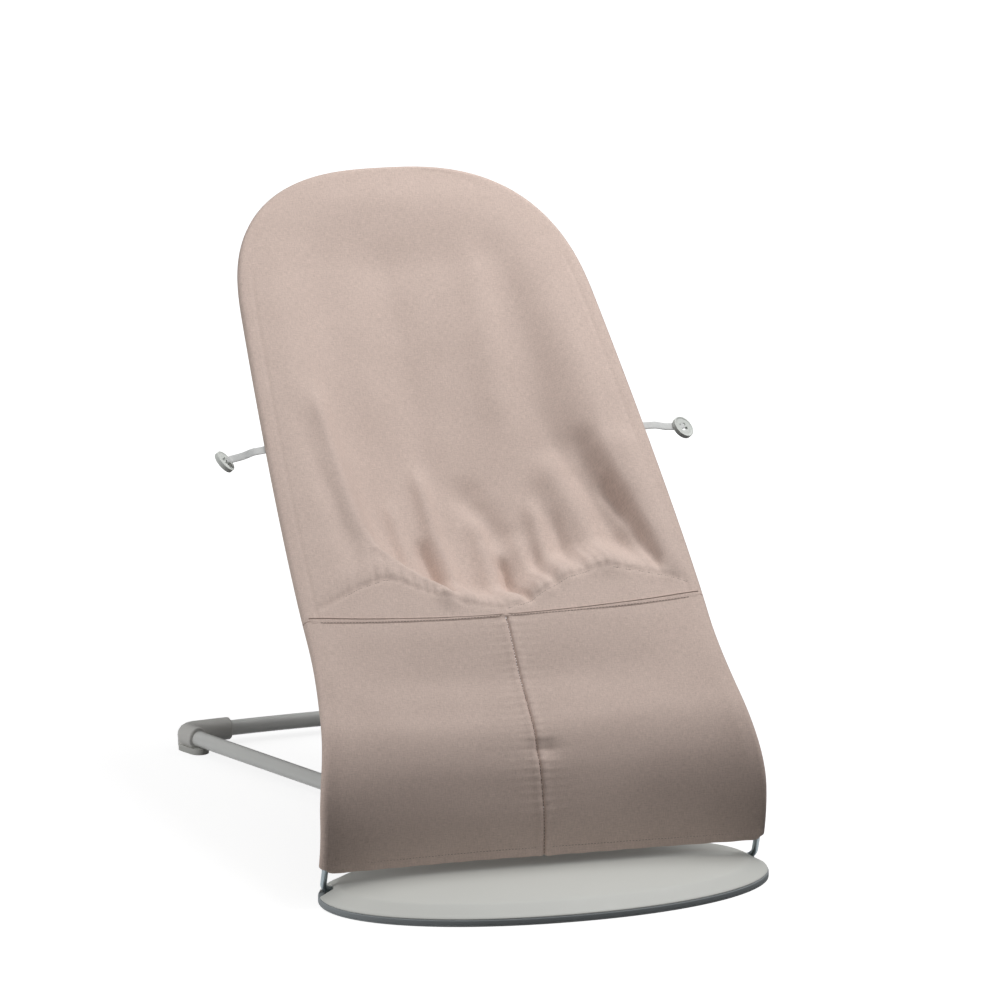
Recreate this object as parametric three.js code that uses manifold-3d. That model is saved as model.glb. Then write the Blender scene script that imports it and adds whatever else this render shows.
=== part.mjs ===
// Baby bouncer seat: a fabric seat on a spring-wire frame, hinged in the ends of an oval front
// plate, propped from a V-shaped tube frame on the floor.
// Millimetres, +Z up. X runs across, -Y is the front, and the origin is on the floor under the
// middle of the front plate.
import * as THREE from 'three';
import { mergeVertices } from 'three/addons/utils/BufferGeometryUtils.js';
import Module from 'manifold-3d';

const wasm = await Module();
wasm.setup();

// ---- driving dimensions ----
const GAP = 0.3; // air left between pieces that touch
const RAD = Math.PI / 180;

// front plate
const PLATE_A = 195; // half width
const PLATE_B = 97; // half depth
const PLATE_POWER = 2.1; // superellipse power of its outline
const PAN_TOP = 2.5;
const RUBBER_WIDTH = 5.7;
const RUBBER_TOP = 5.8;
const CREASE_INSET = 16;
const CREASE_Z = 15;
const CROWN_Z = 20;
const SHELL_WALL = 1.8;
const SCREW_X = 110;
const SCREW_Y = 48;

// floor frame
const TUBE_R = 7;
const TUBE_Z = 13;
const CORNER_X = 203; // where the floor tube and the cross tube meet
const CORNER_Y = 490;
const NOSE_X = 15.5; // front end of a floor tube, inside the socket
const NOSE_Y = 93;
const CROSS_BOW = 17; // the cross tube bows this far to the rear
const ELBOW_R = 10.2;
const ELBOW_TUBE_ARM = 22; // length of the elbow's arm on the floor tube, from the corner
const ELBOW_CROSS_ARM = 44; // and of its arm on the cross tube
const FOOT_X = 196.5; // middle of the rubber foot under an elbow
const FOOT_Y = 476.5;
const FOOT_HALF = 7.5; // from there to the centres of its round ends
const FOOT_R = 9;
const SOCKET_TOP = 22.5;

// seat frame, in the plane of the back: s runs up the back from the hinge, d stands off it
const HINGE_Y = 15;
const HINGE_Z = 9;
const BACK_ANGLE = 34.8 * RAD;
const FRONT_LEAN = 24 * RAD; // the lower wire leans this far to the front
const BEND_R = 95;
const BACK_D = 97; // distance of the back wires from the hinge axis
const WIRE_R = 2.8;
const WIRE_X = 189; // half spread of the wires at the plate
const FOLD_ANGLE = 38.8 * RAD;
const SLOT_STEPS = 4; // cuts that make up the slot a wire swings in
const BACK_HALF = 171.5; // half spread of the wires at the seam
const SEAM_S = 208;
const SPLIT_S = 500; // the springing line of the back
const HOOP_S = 560; // where the top arch begins
const TOP_S = 727;
const ARCH_POWER = 2.7; // superellipse power of the top arch
const COVER_OUT = 6.2; // the cloth's face stands this far off the wire's centre
const COVER_WALL = 1.6;
const POCKET_S = 606; // lower edge of the pocket over the top arch
const LOW_FLARE = 17.5; // the wires spread this much further near the plate
const FLARE_Z = 75; // and draw in from this height
const FLARE_RISE = 120; // over this rise
const BACK_TAPER = 13; // the wires draw in by this much up the back
const TAPER_S = 312; // over this length
const HOLLOW_DEPTH = 36;
const HOLLOW_S = 300; // deepest point of the hollow
const HEM_T = 23; // the hem's length along the wire from the hinge
const RIM_SHARE = 0.93; // the cloth lies flat over the wires outside this share of the spread

// prop and rack
const PROP_Y = 215;
const PROP_Z = 13;
const PROP_L = 270;
const PROP_ANGLE = 69.28 * RAD;
const PROP_X = 54;
const PROP_R = 5.5;
const HEAD_R = 5;
const ROLLER_R = 6.5;
const RACK_X = 36;
const RACK_S = [373, 485];
const NOTCH_S = [389, 414, 435, 468];
const RACK_D = 49.3;
const RACK_TOP_D = 62;
const CROSS_WIRE_R = 2.4;

// toggle straps
const STRAP_S = 408;
const STRAP_W = 8;
const STRAP_T = 1.6;
const DISC_R = 10.3;
const DISC_T = 4;
const STRAPS = {
  left: { length: 27.5, droop: -14, axis: [0.654, -0.352, 0.663] },
  right: { length: 24.2, droop: -7, axis: [0.455, -0.586, 0.668] },
};

// ---- helpers ----
const material = (color, roughness, metalness = 0) =>
  new THREE.MeshStandardMaterial({ color, roughness, metalness });

const finishes = {
  shell: () => material('#c0c1bb', 0.55),
  pan: () => material('#9fa19c', 0.7),
  rubber: () => material('#868a8a', 0.85),
  tube: () => material('#c9cac7', 0.4, 0.2),
  moulding: () => material('#afaeab', 0.6),
  steel: () => material('#b9c6cc', 0.3, 1),
  cloth: () => material('#c1aea5', 0.9),
  trim: () => material('#a89890', 0.9),
  webbing: () => material('#c8cac8', 0.85),
  disc: () => material('#b8bbb2', 0.5),
};

function solidFrom(geometry) {
  const bare = geometry.index ? geometry.clone() : geometry;
  bare.deleteAttribute('normal');
  bare.deleteAttribute('uv');
  const merged = mergeVertices(bare, 1e-4);
  return new wasm.Manifold(new wasm.Mesh({
    numProp: 3,
    vertProperties: new Float32Array(merged.attributes.position.array),
    triVerts: new Uint32Array(merged.index.array),
  }));
}

function geometryFrom(solid) {
  const mesh = solid.getMesh();
  const geometry = new THREE.BufferGeometry();
  geometry.setAttribute('position', new THREE.BufferAttribute(mesh.vertProperties, 3));
  geometry.setIndex(new THREE.BufferAttribute(mesh.triVerts, 1));
  geometry.computeVertexNormals();
  return geometry;
}

const join = (first, ...rest) => geometryFrom(rest.reduce((s, g) => s.add(solidFrom(g)), solidFrom(first)));
const cut = (first, ...rest) => geometryFrom(rest.reduce((s, g) => s.subtract(solidFrom(g)), solidFrom(first)));

const root = new THREE.Group();

function add(name, geometry, finish) {
  const mesh = new THREE.Mesh(geometry, finishes[finish]());
  mesh.name = name;
  root.add(mesh);
  return mesh;
}

function forBothSides(make) {
  for (const [side, word] of [[-1, 'left'], [1, 'right']]) make(side, word);
}

const vec = (x, y, z) => new THREE.Vector3(x, y, z);

// a smooth curve whose even steps fall on its own points, so tight bends get the steps they need
class KnotCurve extends THREE.CatmullRomCurve3 {
  getUtoTmapping(u) {
    return u;
  }
}

// a round bar along a list of points, with a number of steps between one point and the next
function bar(points, radius, stepsEach = 1, sides = 10) {
  const curve = points.length === 2 ? new THREE.LineCurve3(...points) : new KnotCurve(points, false, 'centripetal');
  const steps = stepsEach * (points.length - 1);
  const section = new THREE.Shape();
  for (let i = 0; i < sides; i += 1) {
    const a = (i / sides) * 2 * Math.PI;
    const x = radius * Math.cos(a);
    const y = radius * Math.sin(a);
    if (i === 0) section.moveTo(x, y);
    else section.lineTo(x, y);
  }
  return new THREE.ExtrudeGeometry(section, { steps, bevelEnabled: false, extrudePath: curve, curveSegments: 1 });
}

function box(x0, x1, y0, y1, z0, z1) {
  const geometry = new THREE.BoxGeometry(Math.abs(x1 - x0), Math.abs(y1 - y0), Math.abs(z1 - z0));
  return geometry.translate((x0 + x1) / 2, (y0 + y1) / 2, (z0 + z1) / 2);
}

// a closed skin over a grid of points: face(u, v) gives the outer point, back(u, v) the inner
function skin(face, back, nu, nv) {
  const position = [];
  const row = nu + 1;
  const count = row * (nv + 1);
  for (const side of [face, back]) {
    for (let j = 0; j <= nv; j += 1) {
      for (let i = 0; i <= nu; i += 1) position.push(...side(i / nu, j / nv).toArray());
    }
  }
  const index = [];
  const quad = (a, b, c, d) => index.push(a, b, c, a, c, d);
  const at = (i, j) => j * row + i;
  for (let j = 0; j < nv; j += 1) {
    for (let i = 0; i < nu; i += 1) {
      quad(at(i, j), at(i + 1, j), at(i + 1, j + 1), at(i, j + 1));
      quad(count + at(i, j), count + at(i, j + 1), count + at(i + 1, j + 1), count + at(i + 1, j));
    }
  }
  for (let i = 0; i < nu; i += 1) {
    quad(at(i, 0), count + at(i, 0), count + at(i + 1, 0), at(i + 1, 0));
    quad(at(i, nv), at(i + 1, nv), count + at(i + 1, nv), count + at(i, nv));
  }
  for (let j = 0; j < nv; j += 1) {
    quad(at(0, j), at(0, j + 1), count + at(0, j + 1), count + at(0, j));
    quad(at(nu, j), count + at(nu, j), count + at(nu, j + 1), at(nu, j + 1));
  }
  const geometry = new THREE.BufferGeometry();
  geometry.setAttribute('position', new THREE.Float32BufferAttribute(position, 3));
  geometry.setIndex(index);
  geometry.computeVertexNormals();
  return geometry;
}

// a point of the plate's outline at a given angle and inset
function outlinePoint(angle, inset) {
  const power = 2 / PLATE_POWER;
  const c = Math.cos(angle);
  const s = Math.sin(angle);
  return [
    (PLATE_A - inset) * Math.sign(c) * Math.abs(c) ** power,
    (PLATE_B - inset) * Math.sign(s) * Math.abs(s) ** power,
  ];
}

function outline(inset, segments = 48, kind = THREE.Shape) {
  const shape = new kind();
  for (let i = 0; i < segments; i += 1) {
    const [x, y] = outlinePoint((i / segments) * 2 * Math.PI, inset);
    if (i === 0) shape.moveTo(x, y);
    else shape.lineTo(x, y);
  }
  shape.closePath();
  return shape;
}

// a closed solid through oval rings, from the middle of its top to the middle of its underside
function ringSolid(rings, segments = 48) {
  const position = [0, 0, rings[0].z];
  for (const { inset, z } of rings) {
    for (let i = 0; i < segments; i += 1) {
      position.push(...outlinePoint((i / segments) * 2 * Math.PI, inset), z);
    }
  }
  position.push(0, 0, rings.at(-1).z);
  const index = [];
  const at = (r, i) => 1 + r * segments + (i % segments);
  for (let i = 0; i < segments; i += 1) {
    index.push(0, at(0, i), at(0, i + 1));
    for (let r = 0; r < rings.length - 1; r += 1) {
      index.push(at(r, i), at(r + 1, i), at(r + 1, i + 1), at(r, i), at(r + 1, i + 1), at(r, i + 1));
    }
    index.push(1 + rings.length * segments, at(rings.length - 1, i + 1), at(rings.length - 1, i));
  }
  const geometry = new THREE.BufferGeometry();
  geometry.setAttribute('position', new THREE.Float32BufferAttribute(position, 3));
  geometry.setIndex(index);
  return geometry;
}

// ---- the seat's side profile ----
const dot = (a, b) => a[0] * b[0] + a[1] * b[1];
const heading = (angle) => [Math.cos(angle), Math.sin(angle)];
const UP_BACK = heading(BACK_ANGLE);
const OFF_BACK = heading(BACK_ANGLE + Math.PI / 2);
const UP_FRONT = heading(Math.PI / 2 + FRONT_LEAN);
const INTO_BEND = heading(FRONT_LEAN);
const RISER = (BACK_D - BEND_R - BEND_R * dot(INTO_BEND, OFF_BACK)) / dot(UP_FRONT, OFF_BACK);
const BEND_TURN = Math.PI / 2 + FRONT_LEAN - BACK_ANGLE;
const BEND_LENGTH = BEND_R * BEND_TURN;
const BEND_CENTRE = [
  HINGE_Y + RISER * UP_FRONT[0] + BEND_R * INTO_BEND[0],
  HINGE_Z + RISER * UP_FRONT[1] + BEND_R * INTO_BEND[1],
];
const BEND_END_S = dot([BEND_CENTRE[0] - HINGE_Y, BEND_CENTRE[1] - HINGE_Z], UP_BACK);

// point (y, z) of the plane of the back
function onBack(s, d) {
  return [
    HINGE_Y + s * UP_BACK[0] + d * OFF_BACK[0],
    HINGE_Z + s * UP_BACK[1] + d * OFF_BACK[1],
  ];
}

// length along the wire from the hinge to a height s on the back, and the other way round
const lengthAt = (s) => RISER + BEND_LENGTH + s - BEND_END_S;
const heightAt = (t) => t - RISER - BEND_LENGTH + BEND_END_S;

// side profile at length t along the wire, off the wire's centre towards the face
function profile(t, off = 0) {
  if (t < RISER) {
    return [
      HINGE_Y + t * UP_FRONT[0] - off * INTO_BEND[0],
      HINGE_Z + t * UP_FRONT[1] - off * INTO_BEND[1],
    ];
  }
  if (t < RISER + BEND_LENGTH) {
    const angle = Math.PI + FRONT_LEAN - (t - RISER) / BEND_R;
    const reach = BEND_R + off;
    return [BEND_CENTRE[0] + reach * Math.cos(angle), BEND_CENTRE[1] + reach * Math.sin(angle)];
  }
  return onBack(heightAt(t), BACK_D + off);
}

const smooth = (x) => {
  const c = Math.min(1, Math.max(0, x));
  return c * c * (3 - 2 * c);
};

// half spread of the wires at length t
function spread(t) {
  const s = heightAt(t);
  const z = profile(t)[1];
  const low = LOW_FLARE * (1 - smooth((z - FLARE_Z) / FLARE_RISE));
  const taper = BACK_TAPER * Math.max(0, (s - SEAM_S) / TAPER_S) ** 1.5;
  return BACK_HALF + low - taper;
}

// half spread at height s: the top arch closes it to nothing at TOP_S, or a little further out
function archSpread(s, outside = 0) {
  const over = Math.min(1, Math.max(0, (s - HOOP_S) / (TOP_S + outside - HOOP_S)));
  return (spread(lengthAt(s)) + outside) * (1 - over ** ARCH_POWER) ** (1 / ARCH_POWER);
}

// depth of the seat's hollow below the wires, in the middle, at height s
function hollow(s) {
  const into = smooth((s - SEAM_S) / 70);
  const out = 1 - smooth((s - HOLLOW_S) / (TOP_S - HOLLOW_S - 20));
  return HOLLOW_DEPTH * into * out;
}

// ---- front plate ----
function basePan() {
  const pan = new THREE.ExtrudeGeometry(outline(RUBBER_WIDTH + GAP), { depth: PAN_TOP, bevelEnabled: false });
  const holes = screwPlaces().map(([x, y]) => bar([vec(x, y, -1), vec(x, y, PAN_TOP + 1)], 2.2, 1, 8));
  return cut(pan, ...holes);
}

function rimRubber() {
  const shape = outline(0);
  shape.holes.push(outline(RUBBER_WIDTH, 48, THREE.Path));
  return new THREE.ExtrudeGeometry(shape, { depth: RUBBER_TOP, bevelEnabled: false });
}

function plateShell() {
  const slope = [
    { inset: CREASE_INSET + 2.5, z: CREASE_Z + 0.5 },
    { inset: CREASE_INSET, z: CREASE_Z },
    { inset: 9, z: 11.4 },
    { inset: 3, z: 8 },
    { inset: 0.8, z: RUBBER_TOP + GAP },
  ];
  const crown = [0.03, 0.3, 0.6, 0.82].map((reach) => ({
    inset: PLATE_B - reach * (PLATE_B - CREASE_INSET - 2.5),
    z: CREASE_Z + 0.5 + (CROWN_Z - CREASE_Z - 0.5) * (1 - reach ** 2),
  }));
  const outer = [...crown, ...slope];
  const inner = outer.slice(0, -1).reverse().map(({ inset, z }) => ({ inset: inset + 1, z: z - SHELL_WALL }));
  inner.unshift({ inset: 3, z: RUBBER_TOP + GAP });
  const shell = ringSolid([...outer, ...inner]);
  return cut(shell, socketBlock(GAP), ...wireSlots());
}

// the slots in the plate's ends that the wires swing in as the seat folds
function wireSlots() {
  const slots = [];
  for (const side of [-1, 1]) {
    for (let i = 0; i <= SLOT_STEPS; i += 1) {
      const slot = bar(wirePoints(side).slice(0, 7), WIRE_R + 1.1, 1, 10);
      slot.translate(0, -HINGE_Y, -HINGE_Z).rotateX((-FOLD_ANGLE * i) / SLOT_STEPS);
      slots.push(slot.translate(0, HINGE_Y, HINGE_Z));
    }
  }
  return slots;
}

const screwPlaces = () => [[-SCREW_X, -SCREW_Y], [SCREW_X, -SCREW_Y], [-SCREW_X, SCREW_Y], [SCREW_X, SCREW_Y]];

function screwPost(x, y) {
  const post = bar([vec(x, y, PAN_TOP + GAP), vec(x, y, 13.5)], 4, 1, 10);
  return cut(post, bar([vec(x, y, 0), vec(x, y, 10.5)], 1.9, 1, 8));
}

function panScrew(x, y) {
  const points = [[0, 0.6], [1.9, 0.6], [1.9, 2.2], [1.5, 2.8], [1.5, 9.5], [0, 10]];
  const profileOf = points.map(([r, z]) => new THREE.Vector2(r, z));
  return new THREE.LatheGeometry(profileOf, 8).rotateX(Math.PI / 2).translate(x, y, 0);
}

function tubeLine(side, front = NOSE_Y, rear = CORNER_Y) {
  const xAt = (y) => NOSE_X + ((y - NOSE_Y) / (CORNER_Y - NOSE_Y)) * (CORNER_X - NOSE_X);
  return [vec(side * xAt(front), front, TUBE_Z), vec(side * xAt(rear), rear, TUBE_Z)];
}

function socketBlock(grow) {
  const shape = new THREE.Shape();
  const w0 = 26 + grow;
  const w1 = 46 + grow;
  shape.moveTo(-w0, 62 - grow);
  shape.lineTo(w0, 62 - grow);
  shape.lineTo(w1, 112);
  shape.quadraticCurveTo(w1 + 2, 128 + grow, w1 - 14, 128 + grow);
  shape.lineTo(14 - w1, 128 + grow);
  shape.quadraticCurveTo(-w1 - 2, 128 + grow, -w1, 112);
  shape.closePath();
  const depth = SOCKET_TOP - PAN_TOP - GAP + grow;
  const block = new THREE.ExtrudeGeometry(shape, { depth, bevelEnabled: false, curveSegments: 4 });
  return block.translate(0, 0, PAN_TOP + GAP);
}

function tubeSocket() {
  const bores = [-1, 1].map((side) => bar(tubeLine(side, NOSE_Y - 1, 200), TUBE_R + GAP, 1, 16));
  return cut(socketBlock(0), ...bores, rimBand(), box(-60, 60, PLATE_B - 12, 140, 0, 3.6));
}

// the ground that the rubber rim and the pan take from the socket
function rimBand() {
  const shape = outline(-GAP);
  shape.holes.push(outline(RUBBER_WIDTH + GAP, 48, THREE.Path));
  const depth = RUBBER_TOP + GAP;
  return new THREE.ExtrudeGeometry(shape, { depth, bevelEnabled: false });
}

function pivotBush(side) {
  const block = box(side * 150, side * 172, HINGE_Y - 8, HINGE_Y + 8, PAN_TOP + GAP, CREASE_Z - SHELL_WALL - 0.6);
  const bore = bar([vec(side * 140, HINGE_Y, HINGE_Z), vec(side * 180, HINGE_Y, HINGE_Z)], WIRE_R + GAP, 1, 16);
  return cut(block, bore);
}

// ---- floor frame ----
function floorTube(side) {
  const [front, rear] = tubeLine(side);
  const along = rear.clone().sub(front).normalize();
  return bar([front, rear.clone().addScaledVector(along, -13)], TUBE_R, 1, 16);
}

// the bowed line of the cross tube, from x0 to x1
function crossLine(x0, x1, count) {
  const points = [];
  for (let i = 0; i <= count; i += 1) {
    const x = x0 + ((x1 - x0) * i) / count;
    points.push(vec(x, CORNER_Y + CROSS_BOW * (1 - (x / CORNER_X) ** 2), TUBE_Z));
  }
  return points;
}

function crossTube() {
  return bar(crossLine(-CORNER_X + 12, CORNER_X - 12, 12), TUBE_R, 1, 16);
}

function elbowBody(side, grow) {
  const [nose, corner] = tubeLine(side);
  const along = corner.clone().sub(nose).normalize();
  const start = corner.clone().addScaledVector(along, -ELBOW_TUBE_ARM);
  const bend = corner.clone().addScaledVector(along, -13);
  const arm = crossLine(side * (CORNER_X - 13), side * (CORNER_X - ELBOW_CROSS_ARM), 3);
  const turn = new THREE.QuadraticBezierCurve3(bend, corner, arm[0]).getPoints(5);
  return bar([start, ...turn, ...arm.slice(1)], ELBOW_R + grow, 1, 14);
}

function elbow(side) {
  const [nose, corner] = tubeLine(side);
  const along = corner.clone().sub(nose).normalize();
  const socket = bar([nose, corner.clone().addScaledVector(along, -12)], TUBE_R + GAP, 1, 16);
  const sleeve = bar(crossLine(side * (CORNER_X - 11), side * (CORNER_X - 90), 6), TUBE_R + GAP, 1, 16);
  return cut(elbowBody(side, 0), socket, sleeve);
}

function elbowFoot(side) {
  const shape = new THREE.Shape();
  shape.absarc(-FOOT_HALF, 0, FOOT_R, Math.PI / 2, (3 * Math.PI) / 2, false);
  shape.absarc(FOOT_HALF, 0, FOOT_R, -Math.PI / 2, Math.PI / 2, false);
  shape.closePath();
  const pad = new THREE.ExtrudeGeometry(shape, { depth: 5.5, bevelEnabled: false, curveSegments: 5 });
  pad.rotateZ(side * 64 * RAD).translate(side * FOOT_X, FOOT_Y, 0);
  return cut(pad, elbowBody(side, GAP));
}

function tubeCentreX(y) {
  return tubeLine(1, y, CORNER_Y)[0].x;
}

function propBracket(side) {
  const centre = tubeCentreX(PROP_Y);
  const block = box(side * (PROP_X + 6), side * (centre + 10), PROP_Y - 11, PROP_Y + 11, 3.6, 22.5);
  const stub = bar([vec(side * (PROP_X + 8), PROP_Y, PROP_Z), vec(side * (PROP_X - 8), PROP_Y, PROP_Z)], 3.6, 1, 16);
  const bore = bar(tubeLine(side, PROP_Y - 30, PROP_Y + 30), TUBE_R + GAP, 1, 16);
  return cut(join(block, stub), bore);
}

function propClip(side) {
  const disc = bar([vec(side * (PROP_X - 5.5), PROP_Y, PROP_Z), vec(side * (PROP_X - 9.5), PROP_Y, PROP_Z)], 6.5, 1, 14);
  const bore = bar([vec(side * PROP_X, PROP_Y, PROP_Z), vec(side * (PROP_X - 8.3), PROP_Y, PROP_Z)], 3.9, 1, 14);
  return cut(disc, bore);
}

// ---- prop ----
function onProp(side, length) {
  const y = PROP_Y + length * Math.cos(PROP_ANGLE);
  const z = PROP_Z + length * Math.sin(PROP_ANGLE);
  return vec(side * PROP_X, y, z);
}

function across(centre, halfWidth, radius, sides = 14) {
  const ends = [-halfWidth, halfWidth].map((x) => vec(centre.x + x, centre.y, centre.z));
  return bar(ends, radius, 1, sides);
}

function propLeg(side) {
  const leg = bar([onProp(side, 6), onProp(side, PROP_L - 9.2)], PROP_R, 1, 12);
  const eye = across(onProp(side, 0), 4.5, 8);
  return cut(join(leg, eye), across(onProp(side, 0), 12, 4));
}

function headBlock(side) {
  const head = onProp(side, PROP_L);
  return cut(across(head, 7, 8.4), across(head, 20, HEAD_R + GAP));
}

function headRoller(side) {
  const head = onProp(side, PROP_L);
  head.x = side * RACK_X;
  return cut(across(head, 7, ROLLER_R), across(head, 20, HEAD_R + GAP));
}

// ---- wires ----
function wirePoints(side) {
  const points = [vec(side * 153, HINGE_Y, HINGE_Z), vec(side * 174, HINGE_Y, HINGE_Z)];
  const turn = 7;
  for (let i = 0; i <= 3; i += 1) {
    const a = (i / 3) * (Math.PI / 2);
    const [y, z] = profile(turn * (1 - Math.cos(a)));
    points.push(vec(side * (WIRE_X - turn + turn * Math.sin(a)), y, z));
  }
  for (let t = 16; t < lengthAt(SPLIT_S - 3); t += t < RISER + BEND_LENGTH + 80 ? 14 : 40) {
    points.push(vec(side * spread(t), ...profile(t)));
  }
  const end = lengthAt(SPLIT_S - 3);
  points.push(vec(side * spread(end), ...profile(end)));
  return points;
}

const sideWire = (side) => bar(wirePoints(side), WIRE_R, 1, 8);

function upperHoop() {
  const half = [];
  for (const s of [SPLIT_S + 3, 530]) half.push(vec(archSpread(s), ...onBack(s, BACK_D)));
  for (let i = 0; i <= 9; i += 1) {
    const a = (i / 10) * (Math.PI / 2);
    const s = HOOP_S + (TOP_S - HOOP_S) * Math.sin(a) ** (2 / ARCH_POWER);
    half.push(vec(archSpread(s), ...onBack(s, BACK_D)));
  }
  const top = vec(0, ...onBack(TOP_S, BACK_D));
  const mirrored = half.map((p) => vec(-p.x, p.y, p.z)).reverse();
  return bar([...half, top, ...mirrored], WIRE_R, 2, 8);
}

// a cross wire dips under the cloth between the side wires
function crossWire(s) {
  const edge = archSpread(s) - WIRE_R - GAP;
  const low = (RACK_D + RACK_TOP_D) / 2;
  const half = [[edge, BACK_D - 6], [edge - 14, BACK_D - 20], [118, low + 7], [84, low], [42, low], [0, low]];
  const right = half.map(([x, d]) => vec(x, ...onBack(s, d)));
  const left = right.slice(0, -1).map((p) => vec(-p.x, p.y, p.z));
  return bar([...left, ...right.reverse()], CROSS_WIRE_R, 3, 8);
}

function spliceSleeve(side) {
  const ends = [SPLIT_S - 30, SPLIT_S - 3.5].map((s) => vec(side * archSpread(s), ...onBack(s, BACK_D)));
  return cut(bar(ends, WIRE_R + 1.5, 1, 10), bar([
    ends[0].clone().lerp(ends[1], -0.2),
    ends[1].clone().lerp(ends[0], -0.2),
  ], WIRE_R + GAP, 1, 10));
}

// ---- rack ----
function recliningRack(side) {
  const shape = new THREE.Shape();
  shape.moveTo(RACK_S[0] - 7, RACK_D + 3);
  shape.lineTo(RACK_S[0], RACK_D);
  for (const notch of NOTCH_S) {
    shape.lineTo(notch - 6, RACK_D);
    shape.quadraticCurveTo(notch, RACK_D + 9, notch + 6, RACK_D);
  }
  shape.lineTo(RACK_S[1], RACK_D);
  shape.lineTo(RACK_S[1] + 7, RACK_D + 3);
  shape.lineTo(RACK_S[1] + 7, RACK_TOP_D);
  shape.lineTo(RACK_S[0] - 7, RACK_TOP_D);
  shape.closePath();
  const blade = new THREE.ExtrudeGeometry(shape, { depth: 8, bevelEnabled: false, curveSegments: 5 });
  const place = new THREE.Matrix4().makeBasis(
    vec(0, UP_BACK[0], UP_BACK[1]),
    vec(0, OFF_BACK[0], OFF_BACK[1]),
    vec(1, 0, 0),
  );
  place.setPosition(side * RACK_X - 4, HINGE_Y, HINGE_Z);
  blade.applyMatrix4(place);
  const low = (RACK_D + RACK_TOP_D) / 2;
  const holes = RACK_S.map((s) => across(vec(side * RACK_X, ...onBack(s, low)), 12, CROSS_WIRE_R + 0.5, 10));
  return cut(blade, ...holes);
}

// ---- cloth ----
// a point of the cloth at a length along the wire and a share of the spread
function clothFace(t, share, off, sag) {
  const half = archSpread(heightAt(t), COVER_OUT);
  const dip = sag * (1 - Math.min(1, Math.abs(share) / RIM_SHARE) ** 3);
  return vec(share * half, ...profile(t, off - dip));
}

// crowds the grid lines towards the rims, where the cloth turns over the wires
const crowded = (share) => Math.sin((share * Math.PI) / 2);

// cloth between two lengths along the wire, from x0 to x1 as shares of the spread
function clothPanel(t0, t1, x0, x1, sagAt, nu, nv, off = COVER_OUT) {
  const at = (away) => (u, v) => {
    const t = t0 + (t1 - t0) * v;
    return clothFace(t, crowded(x0 + (x1 - x0) * u), off - away, sagAt(t));
  };
  return skin(at(0), at(COVER_WALL), nu, nv);
}

const backSag = (t) => hollow(heightAt(t));

function lowerPanel(side) {
  const t0 = HEM_T;
  const t1 = lengthAt(SEAM_S) - 3;
  const sag = (t) => 9 * smooth((t - t0) / 60) * (1 - smooth((t - t1 + 50) / 50) * 0.5);
  const edge = 0.002;
  return side < 0
    ? clothPanel(t0, t1, -1, -edge, sag, 6, 16)
    : clothPanel(t0, t1, edge, 1, sag, 6, 16);
}

function seamBand() {
  const t0 = lengthAt(SEAM_S) - 2.6;
  return clothPanel(t0, t0 + 5.2, -1, 1, () => 4.5, 12, 1, COVER_OUT + 1);
}

function seatPouch() {
  return clothPanel(lengthAt(SEAM_S) + 3, lengthAt(300) - 0.4, -1, 1, (t) => 4.5 + backSag(t), 16, 6);
}

function backLower() {
  return clothPanel(lengthAt(300), lengthAt(SPLIT_S) - 1, -1, 1, (t) => 4.5 + backSag(t), 16, 8);
}

function backUpper() {
  const t0 = lengthAt(SPLIT_S) + 1;
  const length = TOP_S + COVER_OUT - 1.5 - SPLIT_S;
  const at = (away) => (u, v) => {
    const t = t0 + length * Math.sin((v * Math.PI) / 2);
    return clothFace(t, crowded(2 * u - 1), COVER_OUT - away, 4.5 * (1 - v) + backSag(t));
  };
  return skin(at(0), at(COVER_WALL), 16, 12);
}

// the pocket at the back of the top arch
function hoodPocket() {
  const at = (away) => (u, v) => {
    const t = lengthAt(POCKET_S) + (TOP_S - 3 - POCKET_S) * Math.sin((v * Math.PI) / 2);
    return clothFace(t, (2 * u - 1) * 0.97, -COVER_OUT - away, 15 * (1 - v) + backSag(t));
  };
  return skin(at(0), at(COVER_WALL), 14, 6);
}

// ---- toggle straps ----
function strapFrame(side) {
  const { length, droop, axis } = side < 0 ? STRAPS.left : STRAPS.right;
  const [y, z] = onBack(STRAP_S, BACK_D);
  const start = vec(side * (archSpread(STRAP_S) + COVER_OUT + 1), y, z);
  const out = vec(side * Math.cos(droop * RAD), 0, Math.sin(droop * RAD));
  return { start, out, length, axis: vec(...axis).normalize() };
}

function placeAlong(geometry, origin, out, wide) {
  const thick = out.clone().cross(wide).normalize();
  const place = new THREE.Matrix4().makeBasis(out, wide, thick);
  place.setPosition(origin);
  return geometry.applyMatrix4(place);
}

const STRAP_WIDE = vec(0, UP_BACK[0], UP_BACK[1]);

function toggleStrap(side) {
  const { start, out, length } = strapFrame(side);
  const wide = STRAP_WIDE.clone().addScaledVector(out, -STRAP_WIDE.dot(out)).normalize();
  const webbing = new THREE.BoxGeometry(length, STRAP_W, STRAP_T).translate(length / 2, 0, 0);
  return placeAlong(webbing, start, out, wide);
}

function toggleDisc(side) {
  const { start, out, length, axis } = strapFrame(side);
  const lean = Math.abs(axis.dot(out));
  const reach = DISC_R * Math.sqrt(1 - lean ** 2) + (DISC_T / 2) * lean;
  const centre = start.clone().addScaledVector(out, length + GAP + reach);
  return bar([
    centre.clone().addScaledVector(axis, -DISC_T / 2),
    centre.clone().addScaledVector(axis, DISC_T / 2),
  ], DISC_R, 1, 20);
}

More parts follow.
